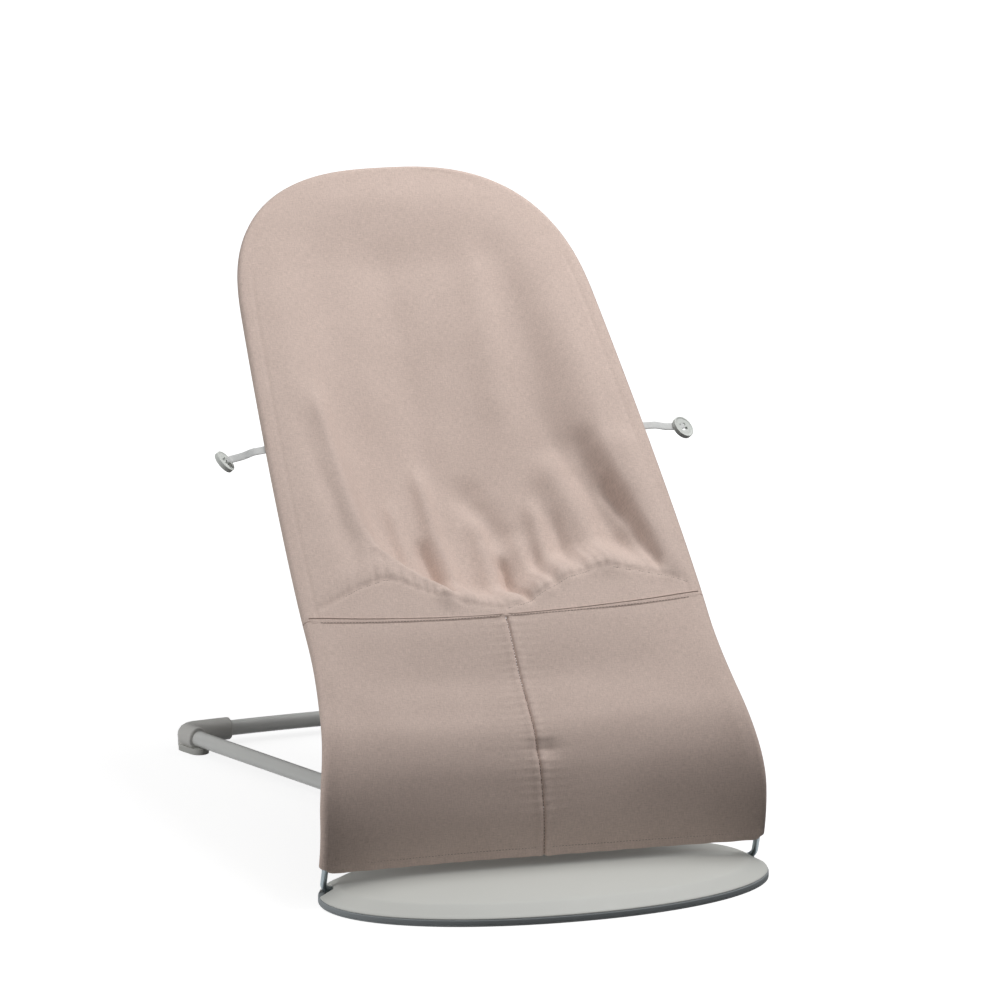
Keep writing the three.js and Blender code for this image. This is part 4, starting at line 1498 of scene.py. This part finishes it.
@dataclass
class SeamTrim:
    """The band and piping over the cross seam, with the stitch rows of the seams and the hem."""

    panels: LowerPanels
    cover: SeatCover
    tall: float = 0.0062
    slim: float = 0.0022
    stand: float = 0.0005
    piping_r: float = 0.0005

    def face(self, x: float, above: float, off: float) -> Vector:
        """A point of the cloth's face near the cross seam.

        Args:
            x: Distance to the right.
            above: Distance above the seam.
            off: Distance off the face.

        Returns:
            The point.
        """
        s = LINE.seam_at(x) + above
        half = LINE.spread(LINE.length_at(s))
        share = min(1.0, abs(x) / half)
        low = self.panels.foot(x, half)
        high = LINE.length_at(LINE.seam_at(x))
        under = self.panels.relief(x, high, low, high, half)
        upper = self.cover.relief(x, LINE.seam_at(x))
        lift = (under + upper) / 2 * (1 - share**8)
        return Vector((x, *LINE.on_back(s, LINE.back_d + self.cover.radius + lift + off)))

    def height(self, x: float) -> float:
        """Height of the band at x: full at its ends and slim in the middle."""
        share = min(1.0, abs(x) / LINE.back_half)
        return self.slim + (self.tall - self.slim) * share**1.1

    def band(self) -> bpy.types.Object:
        """The band, a flat strip with rounded ends.

        Returns:
            The band.
        """
        reach = LINE.back_half + 0.001
        rows, flats = [], []
        for k in range(-1, 2):
            row, flat = [], []
            for i in range(121):
                x = -reach + 2 * reach * i / 120
                end = math.sqrt(max(0.02, 1 - max(0.0, (abs(x) - reach + 0.004) / 0.004) ** 2))
                above = k * self.height(x) / 2 * end
                row.append(self.face(x, above, self.stand - 0.0005 * abs(k)))
                flat.append((x, LINE.seam_s + above))
            rows.append(row)
            flats.append(flat)
        sheet = ClothMesh()
        sheet.grid(rows, flats, LINE.off_back)
        piece = sheet.build("seam_band_cloth", 0.0012)
        return Bench.fitted(piece, Finishes.trim, "seat", "seam_trim", "seam_band")

    def piping(self) -> bpy.types.Object:
        """The thin piping along the band's upper edge.

        Returns:
            The piping.
        """
        reach = LINE.back_half + 0.0005
        xs = [-reach + 2 * reach * i / 90 for i in range(91)]
        points = [self.face(x, self.height(x) / 2, self.stand * 0.6) for x in xs]
        piece = Bench.tube("seam_piping", points, self.piping_r, sides=2)
        layer = piece.data.uv_layers.get("flat") or piece.data.uv_layers.new(name="flat")
        for loop in piece.data.loops:
            place = piece.data.vertices[loop.vertex_index].co
            layer.data[loop.index].uv = (place.x, place.z)
        return Bench.fitted(piece, Finishes.trim, "seat", "seam_trim")

    def rows(self, side: Side) -> list[bpy.types.Object]:
        """The stitch rows of one side: along the band, down the middle seam and along the hem.

        Args:
            side: Which side.

        Returns:
            The two rows.
        """
        k = side.value
        made = []
        xs = [k * (0.004 + (LINE.back_half - 0.010) * i / 60) for i in range(61)]
        line = [self.face(x, -self.height(x) / 2 + 0.0008, self.stand * 0.5) for x in xs]
        made.append(Stitches().row(f"band_stitches_{side.word}", line, "seat"))
        hem = []
        for i in range(120):
            x = k * (0.004 + 0.181 * i / 119)
            half = LINE.spread(self.panels.hem_t)
            low = self.panels.foot(x, half)
            t = low + self.panels.hem_width
            half = LINE.spread(t)
            if abs(x) > half - 0.001:
                break
            high = LINE.length_at(LINE.seam_at(x))
            off = self.panels.radius + self.panels.relief(x, t, low, high, half)
            hem.append(Vector((x, *LINE.profile(t, off))))
        made.append(Stitches().row(f"hem_stitches_{side.word}", hem, "seat"))
        return made

    def gathered(self, side: Side) -> bpy.types.Object:
        """The sewn line under the gathers of one side.

        Args:
            side: Which side.

        Returns:
            The row.
        """
        k = side.value
        near, far = (0.091, 0.137) if side is Side.LEFT else (0.004, 0.168)
        line = []
        for i in range(91):
            x = k * (near + (far - near) * i / 90)
            s = self.cover.gather_at(x) - 0.0008
            off = self.cover.radius + self.cover.relief(x, s) - 0.00008
            line.append(Vector((x, *LINE.on_back(s, LINE.back_d + off))))
        return Stitches().row(f"gather_stitches_{side.word}", line, "seat")

    def middle(self) -> bpy.types.Object:
        """The stitches down the middle seam.

        Returns:
            The row.
        """
        low, high = self.panels.hem_t, LINE.length_at(LINE.seam_at(0))
        line = []
        for i in range(100):
            t = low + (high - low) * (i + 0.5) / 100
            off = self.panels.radius + self.panels.relief(0.0, t, low, high, LINE.spread(t)) + 0.0001
            line.append(Vector((0, *LINE.profile(t, off))))
        return Stitches().row("middle_stitches", line, "seat")

    def build(self) -> dict[Side, list[bpy.types.Object]]:
        """Makes the trims and says which panel each is sewn to.

        Returns:
            The trims of each panel.
        """
        trims = {side: self.rows(side) for side in Side}
        trims[Side.LEFT] += [self.band(), self.piping(), self.middle()]
        for side in Side:
            trims[side].append(self.gathered(side))
        return trims


# ---- front plate ----


@dataclass
class FrontPlate:
    """The oval front plate: a domed shell on a rubber rim, over a pan that holds the pivots."""

    half_width: float = 0.195
    half_depth: float = 0.097
    power: float = 2.1
    wall: float = 0.0018
    segments: int = 144
    gap: float = 0.0004
    socket_nose: float = 0.565
    slot_x: tuple[float, float] = (0.1812, 0.199)
    slot_low: tuple[float, float] = (0.0035, 0.0035)
    slot_high: tuple[float, float] = (0.0195, 0.022)
    shell: tuple[tuple[float, float], ...] = (
        (0.8, 6.1), (0.9, 6.7), (1.5, 7.3), (3.0, 8.05), (6.0, 9.7), (9.0, 11.3), (12.0, 12.95), (14.4, 14.2),
        (15.6, 14.78), (16.8, 15.2), (18.5, 15.5), (22.0, 15.95), (28.0, 16.6), (36.0, 17.3), (46.0, 18.05),
        (58.0, 18.85), (70.0, 19.45), (82.0, 19.84), (94.6, 20.0),
    )
    rim: tuple[tuple[float, float], ...] = (
        (0.5, 0.0), (0.1, 0.25), (0.0, 0.7), (0.0, 1.35), (0.45, 1.6), (0.0, 1.85), (0.0, 4.6), (0.15, 5.3),
        (0.6, 5.7), (1.2, 5.8), (5.0, 5.8), (5.5, 5.65), (5.7, 5.2), (5.7, 0.5), (5.4, 0.0),
    )

    def ring(self, name: str, inset: float, z: float) -> bpy.types.Object:
        """An oval ring of edges.

        Args:
            name: The piece's name.
            inset: Inset from the plate's outline, in millimetres.
            z: Height, in millimetres.

        Returns:
            The ring, a circle drawn out to the plate's outline.
        """
        Bench.clear()
        bpy.ops.mesh.primitive_circle_add(vertices=self.segments, radius=1.0)
        piece = bpy.context.object
        piece.name = name
        a = self.half_width - inset / 1000
        b = self.half_depth - inset / 1000
        for vertex in piece.data.vertices:
            x, y = vertex.co.x, vertex.co.y
            vertex.co.x = a * math.copysign(abs(x) ** (2 / self.power), x)
            vertex.co.y = b * math.copysign(abs(y) ** (2 / self.power), y)
            vertex.co.z = z / 1000
        return piece

    def lathe(self, name: str, rings: Sequence[tuple[float, float]], closed: bool) -> bpy.types.Object:
        """Extrudes a ring through insets and heights.

        Args:
            name: The piece's name.
            rings: Inset and height of each ring, in millimetres.
            closed: Whether the last ring joins the first, or is filled.

        Returns:
            The piece.
        """
        piece = self.ring(name, *rings[0])
        with Bench.editing(piece):
            for (inset0, z0), (inset1, z1) in zip(rings, rings[1:]):
                bpy.ops.mesh.extrude_region_move(TRANSFORM_OT_translate={"value": (0, 0, (z1 - z0) / 1000)})
                across = (self.half_width - inset1 / 1000) / (self.half_width - inset0 / 1000)
                along = (self.half_depth - inset1 / 1000) / (self.half_depth - inset0 / 1000)
                bpy.ops.transform.resize(value=(across, along, 1), center_override=(0, 0, z1 / 1000))
            if closed:
                bpy.ops.mesh.select_all(action="DESELECT")
                bpy.ops.mesh.select_non_manifold()
                bpy.ops.mesh.bridge_edge_loops()
            else:
                bpy.ops.mesh.edge_face_add()
        Bench.merged(piece)
        return piece

    def build(self) -> None:
        """Makes the shell and the rim, and rounds off the parts below them."""
        shell = self.lathe("plate_top", self.shell, closed=False)
        Bench.modify(shell, "SOLIDIFY", thickness=self.wall, offset=-1.0)
        low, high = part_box("tube_socket")
        block = Bench.block((low.x - self.gap, low.y - self.gap, 0.0), (high.x + self.gap, 0.12, 0.024), 0.004)
        for vertex in block.data.vertices:
            share = min(1.0, max(0.0, (vertex.co.y - low.y) / 0.05))
            vertex.co.x *= self.socket_nose + (1 - self.socket_nose) * share
        Bench.cut(shell, block)
        for side in Side:
            near, far = sorted(side.value * x for x in self.slot_x)
            Bench.cut(shell, Bench.block((near, *self.slot_low), (far, *self.slot_high), 0.0022))
        Bench.smooth_edges(shell, 32)
        Bench.fitted(shell, Finishes.shell, "base", "plate_shell", "plate_shell")
        rim = self.lathe("plate_rim", self.rim, closed=True)
        Bench.smooth_edges(rim, 50)
        Bench.fitted(rim, Finishes.rubber, "base", "rubber", "rim_rubber")
        Bench.softened("base_pan", "plate_pan", 0.0006, Finishes.hidden, "base", "underside")
        Bench.softened("tube_socket", "socket_moulding", 0.0015, Finishes.moulding, "base", "moulding")
        for side in Side:
            Bench.softened_on(side, "pivot_bush", "pivot_block", 0.0008, Finishes.moulding, "base", "moulding")
        for i in range(1, 5):
            Bench.softened(f"screw_post_{i}", f"pan_post_{i}", 0.0003, Finishes.hidden, "base", "underside")
            Bench.softened(f"pan_screw_{i}", f"pan_fixing_{i}", 0.0002, Finishes.screw, "base", "screw_steel")


# ---- floor frame ----


@dataclass
class FloorFrame:
    """Two floor tubes that spread to the rear, a bowed cross tube, and elbows on rubber feet."""

    tube_r: float = 0.007
    tube_z: float = 0.013
    nose: tuple[float, float] = (0.0155, 0.093)
    corner: tuple[float, float] = (0.203, 0.490)
    bow: float = 0.017
    elbow_r: float = 0.0102
    bend: float = 0.013
    tube_arm: float = 0.022
    cross_arm: float = 0.044
    lip_marks: tuple[float, ...] = (0.0, 0.0005, 0.0012, 0.0022)
    lips: tuple[tuple[float, float], ...] = ((0.0003, 0.9), (0.0008, 0.965), (0.002, 0.995))

    def cross(self, x0: float, x1: float, count: int) -> list[Vector]:
        """Points of the cross tube's line between two x.

        Args:
            x0, x1: Where the points start and end.
            count: How many steps they have.

        Returns:
            The points, one more than the steps.
        """
        points = []
        for i in range(count + 1):
            x = x0 + (x1 - x0) * i / count
            y = self.corner[1] + self.bow * (1 - (x / self.corner[0]) ** 2)
            points.append(Vector((x, y, self.tube_z)))
        return points

    def lip(self, depth: float) -> float:
        """The elbow's radius as a share of its full one, at a depth inside its mouth."""
        return next((share for edge, share in self.lips if depth < edge), 1.0)

    def ends(self, side: Side) -> tuple[Vector, Vector]:
        """The nose of a floor tube's line and its corner at the rear."""
        spots = (self.nose, self.corner)
        return tuple(Vector((side.value * x, y, self.tube_z)) for x, y in spots)

    def elbow(self, side: Side) -> bpy.types.Object:
        """An elbow: a sleeve bent round the corner, on a knuckle that stands on the foot.

        Args:
            side: Which elbow.

        Returns:
            The piece.
        """
        nose, corner = self.ends(side)
        along = (corner - nose).normalized()
        bend = corner - along * self.bend
        arm = self.cross(*(side.value * (self.corner[0] - back) for back in (self.bend, self.cross_arm)), 12)
        first = corner - along * self.tube_arm
        points = [first.lerp(bend, i / 5) for i in range(5)]
        for i in range(17):
            u = i / 16
            points.append(bend * (1 - u) ** 2 + corner * 2 * u * (1 - u) + arm[0] * u**2)
        points += arm[1:]
        run = Run(points)
        marks = set(run.marks[2:-1])
        for d in self.lip_marks:
            marks |= {d, run.long - d}
        marks = sorted(marks)
        radii = [self.lip(min(d, run.long - d)) for d in marks]
        sleeve = Bench.tube("sleeve", [run.at(d) for d in marks], self.elbow_r, radii, sides=6)
        middle = bend * 0.25 + corner * 0.5 + arm[0] * 0.25
        drop = [Vector((middle.x, middle.y, z)) for z in (0.0016, 0.0022, 0.0034, 0.006, self.tube_z)]
        knuckle = Bench.tube("knuckle", drop, self.elbow_r, [0.86, 0.94, 0.985, 1.0, 1.0], sides=6)
        piece = Bench.joined(f"elbow_sleeve_{side.word}", [sleeve, knuckle])
        return Bench.fitted(piece, Finishes.moulding, "base", "moulding", f"elbow_{side.word}")

    def build(self) -> None:
        """Makes the tubes and elbows, and rounds off the feet, brackets and clips."""
        for side in Side:
            nose, corner = self.ends(side)
            line = [nose.lerp(corner, i / 20) for i in range(20)]
            piece = Bench.tube(f"floor_bar_{side.word}", line, self.tube_r)
            Bench.fitted(piece, Finishes.tube, "base", "painted_tube", f"floor_tube_{side.word}")
            self.elbow(side)
            Bench.softened_on(side, "elbow_foot", "foot_pad", 0.0012, Finishes.foot, "base", "rubber")
            Bench.softened_on(side, "prop_bracket", "prop_shoe", 0.0012, Finishes.moulding, "base", "moulding")
            Bench.softened_on(side, "prop_clip", "prop_cap", 0.0006, Finishes.hidden, "base", "moulding")
        reach = self.corner[0] - 0.014
        piece = Bench.tube("cross_bar", self.cross(-reach, reach, 60), self.tube_r)
        Bench.fitted(piece, Finishes.tube, "base", "painted_tube", "cross_tube")


# ---- prop ----


@dataclass
class Prop:
    """The prop under the back: two legs from the floor tubes to a bar that the racks rest on."""

    foot: tuple[float, float] = (0.215, 0.013)
    long: float = 0.270
    angle: float = math.radians(69.28)
    leg_x: float = 0.054
    leg_r: float = 0.0055
    bar_r: float = 0.005

    def spot(self, x: float, length: float) -> Vector:
        """A point on the prop's plane."""
        y, z = self.foot
        return Vector((x, y + length * math.cos(self.angle), z + length * math.sin(self.angle)))

    def leg(self, side: Side) -> bpy.types.Object:
        """A leg with a flattened eye at its foot.

        Args:
            side: Which leg.

        Returns:
            The piece.
        """
        x = side.value * self.leg_x
        stem = Bench.tube("stem", [self.spot(x, 0.006 + 0.2548 * i / 30) for i in range(31)], self.leg_r)
        ends = [Vector((x + dx, *self.foot)) for dx in (-0.0045, -0.0037, 0.0037, 0.0045)]
        eye = Bench.tube("eye", ends, 0.008, [0.9, 1.0, 1.0, 0.9])
        piece = Bench.joined(f"prop_stem_{side.word}", [stem, eye])
        return Bench.fitted(piece, Finishes.tube, "prop", "painted_tube", f"prop_leg_{side.word}")

    def build(self) -> None:
        """Makes the legs and the bar, and rounds off the blocks and rollers."""
        reach = self.leg_x + 0.009
        head = self.spot(0, self.long)
        shares = (-1, -0.985, -0.9, 0, 0.9, 0.985, 1)
        line = [Vector((reach * share, head.y, head.z)) for share in shares]
        bar = Bench.tube("prop_head_bar", line, self.bar_r, [0.86, 1, 1, 1, 1, 1, 0.86])
        Bench.fitted(bar, Finishes.wire, "prop", "spring_steel", "head_bar")
        for side in Side:
            self.leg(side)
            Bench.softened_on(side, "head_block", "head_shoe", 0.0008, Finishes.moulding, "prop", "moulding")
            Bench.softened_on(side, "head_roller", "head_sleeve", 0.0008, Finishes.hidden, "prop", "moulding")


# ---- spring wire and racks ----


@dataclass
class SpringFrame:
    """The bent spring wire from pivot to pivot, its cross wires and the racks that the prop works in."""

    cross_s: tuple[float, float] = (0.373, 0.485)
    cross_r: float = 0.0024
    rack_d: tuple[float, float] = (0.0493, 0.062)

    def wire(self) -> bpy.types.Object:
        """The main wire, in one length from the left pivot over the arch to the right one.

        Returns:
            The wire.
        """
        left = LINE.wire(Side.LEFT, LINE.hoop_s - 0.006)
        right = LINE.wire(Side.RIGHT, LINE.hoop_s - 0.006)
        line = left + LINE.arch(120) + right[::-1]
        piece = Bench.tube("spring_wire", line, LINE.wire_r, sides=4)
        nodes = ("side_wire_left", "side_wire_right", "upper_hoop")
        Bench.fitted(piece, Finishes.wire, None, "spring_steel", *nodes)
        start, end = LINE.bounce_band()
        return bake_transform(piece)

    def cross(self, s: float, word: str) -> bpy.types.Object:
        """A cross wire, which dips under the cloth between the side wires.

        Args:
            s: Its height on the back.
            word: The word that ends its name.

        Returns:
            The piece.
        """
        edge = LINE.arch_spread(s) - LINE.wire_r - 0.0003
        low = sum(self.rack_d) / 2
        half = [
            (edge, LINE.back_d - 0.006), (edge - 0.014, LINE.back_d - 0.020), (0.118, low + 0.007), (0.084, low),
            (0.042, low), (0.0, low),
        ]
        shape = [(-x, d) for x, d in half[:-1]] + half[::-1]
        curve = eased([Vector((x, *LINE.on_back(s, d))) for x, d in shape], 8)
        piece = Bench.tube(f"cross_rod_{word}", curve, self.cross_r, sides=3)
        return Bench.fitted(piece, Finishes.wire, "seat", "spring_steel", f"cross_wire_{word}")

    def build(self) -> None:
        """Makes the wires, and rounds off the racks and sleeves."""
        self.wire()
        for s, word in zip(self.cross_s, ("lower", "upper")):
            self.cross(s, word)
        for side in Side:
            Bench.softened_on(side, "recline_rack", "rack_moulding", 0.0008, Finishes.moulding, "seat", "moulding")
            Bench.softened_on(side, "splice_sleeve", "splice_cover", 0.0006, Finishes.hidden, "seat", "moulding")


# ---- toggle straps ----


@dataclass
class ToggleStrap:
    """A short webbing strap on the cover's side, with a slotted round toggle on its end."""

    side: Side
    droop: float
    long: float
    facing: Point
    strap_s: float = 0.408
    wide: float = 0.008
    thick: float = 0.0014
    disc_r: float = 0.0103
    disc_t: float = 0.0040
    slot: tuple[float, float] = (0.0038, 0.0011)
    slot_y: float = 0.0020

    def lie(self) -> tuple[Vector, Vector, Vector]:
        """The strap's start, its direction and its width's direction.

        Returns:
            The three vectors.
        """
        k = self.side.value
        start = Vector((k * (LINE.arch_spread(self.strap_s) + 0.0072), *LINE.on_back(self.strap_s, LINE.back_d)))
        out = Vector((k * math.cos(self.droop), 0, math.sin(self.droop)))
        across = Vector((0, *LINE.heading(LINE.back_angle)))
        return start, out, (across - out * across.dot(out)).normalized()

    def strap(self) -> bpy.types.Object:
        """The strap, a curved ribbon whose end lies over the toggle.

        Returns:
            The strap.
        """
        start, out, across = self.lie()
        up = out.cross(across).normalized()
        if up.z < 0:
            up = -up
        middle, axis = self.disc_place()
        over = middle + axis * (self.disc_t * 0.5 + 0.0006)
        hold = start + out * self.long + up * 0.001
        knots = [
            start - out * 0.006, start, start + out * 0.009 + up * 0.0016, start + out * 0.018 + up * 0.0006, hold,
            hold.lerp(over, 0.5) + axis * 0.0006, over,
        ]
        centre = eased(knots, 6)
        rows, flats = [], []
        for i, (point, mark) in enumerate(zip(centre, Run(centre).marks)):
            taper = 1.0 - 0.35 * max(0, i - len(centre) + 10) / 10
            shares = (-0.5, -0.42, -0.2, 0, 0.2, 0.42, 0.5)
            rows.append([point + across * self.wide * o * taper - up * 0.0003 * (abs(o) > 0.45) for o in shares])
            flats.append([(mark, self.wide * o) for o in shares])
        sheet = ClothMesh()
        sheet.grid(rows, flats, up)
        piece = sheet.build(f"toggle_webbing_{self.side.word}", self.thick)
        Bench.modify(piece, "BEVEL", width=0.0003, segments=2, limit_method="ANGLE", angle_limit=math.radians(50))
        Bench.smooth_edges(piece, 50)
        body = f"strap_{self.side.word}"
        return Bench.fitted(piece, Finishes.webbing, body, "webbing", f"toggle_strap_{self.side.word}")

    def disc_place(self) -> tuple[Vector, Vector]:
        """The toggle's middle and its axis.

        Returns:
            Both vectors.
        """
        start, out, _ = self.lie()
        axis = Vector(self.facing).normalized()
        lean = abs(axis.dot(out))
        reach = self.long + 0.0003 + self.disc_r * math.sqrt(1 - lean**2) + self.disc_t / 2 * lean
        return start + out * reach, axis

    def disc(self) -> bpy.types.Object:
        """The toggle: a disc with a raised rim, a dished face and two slots with a bar between them.

        Returns:
            The toggle.
        """
        middle, axis = self.disc_place()
        Bench.clear()
        bpy.ops.mesh.primitive_cylinder_add(vertices=64, radius=self.disc_r, depth=self.disc_t)
        piece = bpy.context.object
        piece.name = f"toggle_button_{self.side.word}"
        Bench.hold(piece)
        bpy.ops.object.mode_set(mode="EDIT")
        bpy.ops.mesh.select_mode(type="FACE")
        bpy.ops.mesh.select_all(action="DESELECT")
        bpy.ops.object.mode_set(mode="OBJECT")
        for face in piece.data.polygons:
            face.select = abs(face.normal.z) > 0.9
        bpy.ops.object.mode_set(mode="EDIT")
        bpy.ops.mesh.inset(thickness=0.0013, use_individual=True)
        bpy.ops.mesh.inset(thickness=0.0004, depth=-0.0005, use_individual=True)
        bpy.ops.mesh.inset(thickness=0.0016, use_individual=True)
        bpy.ops.object.mode_set(mode="OBJECT")
        x, half = self.slot
        for y in (-self.slot_y, self.slot_y):
            Bench.cut(piece, Bench.block((-x, y - half, -0.01), (x, y + half, 0.01), 0.0005))
        Bench.modify(piece, "BEVEL", width=0.0005, segments=3, limit_method="ANGLE", angle_limit=math.radians(40))
        Bench.point(piece, middle, axis)
        Bench.settle(piece)
        Bench.smooth_edges(piece, 40)
        body = f"strap_{self.side.word}"
        return Bench.fitted(piece, Finishes.disc, body, "toggle_plastic", f"toggle_disc_{self.side.word}")

    def build(self) -> None:
        """Makes the strap and its toggle."""
        self.strap()
        self.disc()


# ---- studio ----


@dataclass
class Studio:
    """A pale floor, soft light from above and the camera."""

    azimuth: float = math.radians(-15.03)
    elevation: float = math.radians(14.38)
    distance: float = 6.0
    lens: float = 253.3
    target: Point = (0.0, 0.1453, 0.3021)
    sky: float = 0.53
    ground: float = 0.0

    def floor(self) -> None:
        """The floor, which lights nothing by itself."""
        Bench.clear()
        bpy.ops.mesh.primitive_plane_add(size=40, location=(0, 8, 0))
        plane = bpy.context.object
        plane.name = "studio_floor"
        Bench.settle(plane)
        plane.visible_diffuse = False
        Finishes.paper.dress(plane)

    def world(self) -> None:
        """An even sky, dimmer below the floor's level."""
        world = bpy.data.worlds.new("studio")
        world.use_nodes = True
        graph = Graph(world.node_tree)
        where = graph.out("ShaderNodeTexCoord", {}, {}, "Generated")
        split = graph.node("ShaderNodeSeparateXYZ", {}, {0: where})
        height = Sock(graph, split.outputs[2])
        share = height.above(0.38, 0.22)
        strength = self.ground + share * (self.sky - self.ground)
        light = graph.out("ShaderNodeBackground", {}, {"Color": (1, 1, 1, 1), "Strength": strength})
        graph.node("ShaderNodeOutputWorld", {}, {"Surface": light})
        bpy.context.scene.world = world

    def lamp(self, name: str, power: float, place: Point, aim: Point, size: float) -> None:
        """A square softbox.

        Args:
            name: Its name.
            power: Its power in watts.
            place: Where its middle is.
            aim: The point that it faces.
            size: The length of its sides.
        """
        light = bpy.data.lights.new(name, "AREA")
        light.energy = power
        light.size = size
        Bench.point(Bench.linked(name, light), Vector(place), Vector(place) - Vector(aim))

    def camera(self) -> None:
        """The camera."""
        data = bpy.data.cameras.new("camera")
        data.lens = self.lens
        data.sensor_width = 36
        data.clip_end = 100
        camera = Bench.linked("camera", data)
        a, e = self.azimuth, self.elevation
        back = Vector((math.sin(a) * math.cos(e), -math.cos(a) * math.cos(e), math.sin(e)))
        Bench.point(camera, Vector(self.target) + back * self.distance, back)
        bpy.context.scene.camera = camera

    def build(self) -> None:
        """Sets up the studio."""
        self.floor()
        self.world()
        self.lamp("overhead", 15.0, (0.62, 0.32, 1.66), (0.0, 0.25, 0.25), 0.9)
        self.lamp("low_left", 5.0, (-1.3, 0.10, 0.13), (-0.2, 0.46, 0.02), 0.3)
        self.camera()
        bpy.context.scene.view_settings.view_transform = "Standard"


def main() -> None:
    """Builds the sub-assemblies in order."""
    logging.basicConfig(level=logging.INFO, format="%(message)s", stream=sys.stdout)
    Studio().build()
    FrontPlate().build()
    FloorFrame().build()
    Prop().build()
    SpringFrame().build()
    cover, panels = SeatCover(), LowerPanels()
    cover.build()
    panels.build(SeamTrim(panels, cover).build())
    HoodPocket().build()
    ToggleStrap(Side.LEFT, math.radians(-14), 0.0275, (0.654, -0.352, 0.663)).build()
    ToggleStrap(Side.RIGHT, math.radians(-7), 0.0242, (0.455, -0.586, 0.668)).build()
    Bench.clear()


if __name__ == "__main__":
    main()
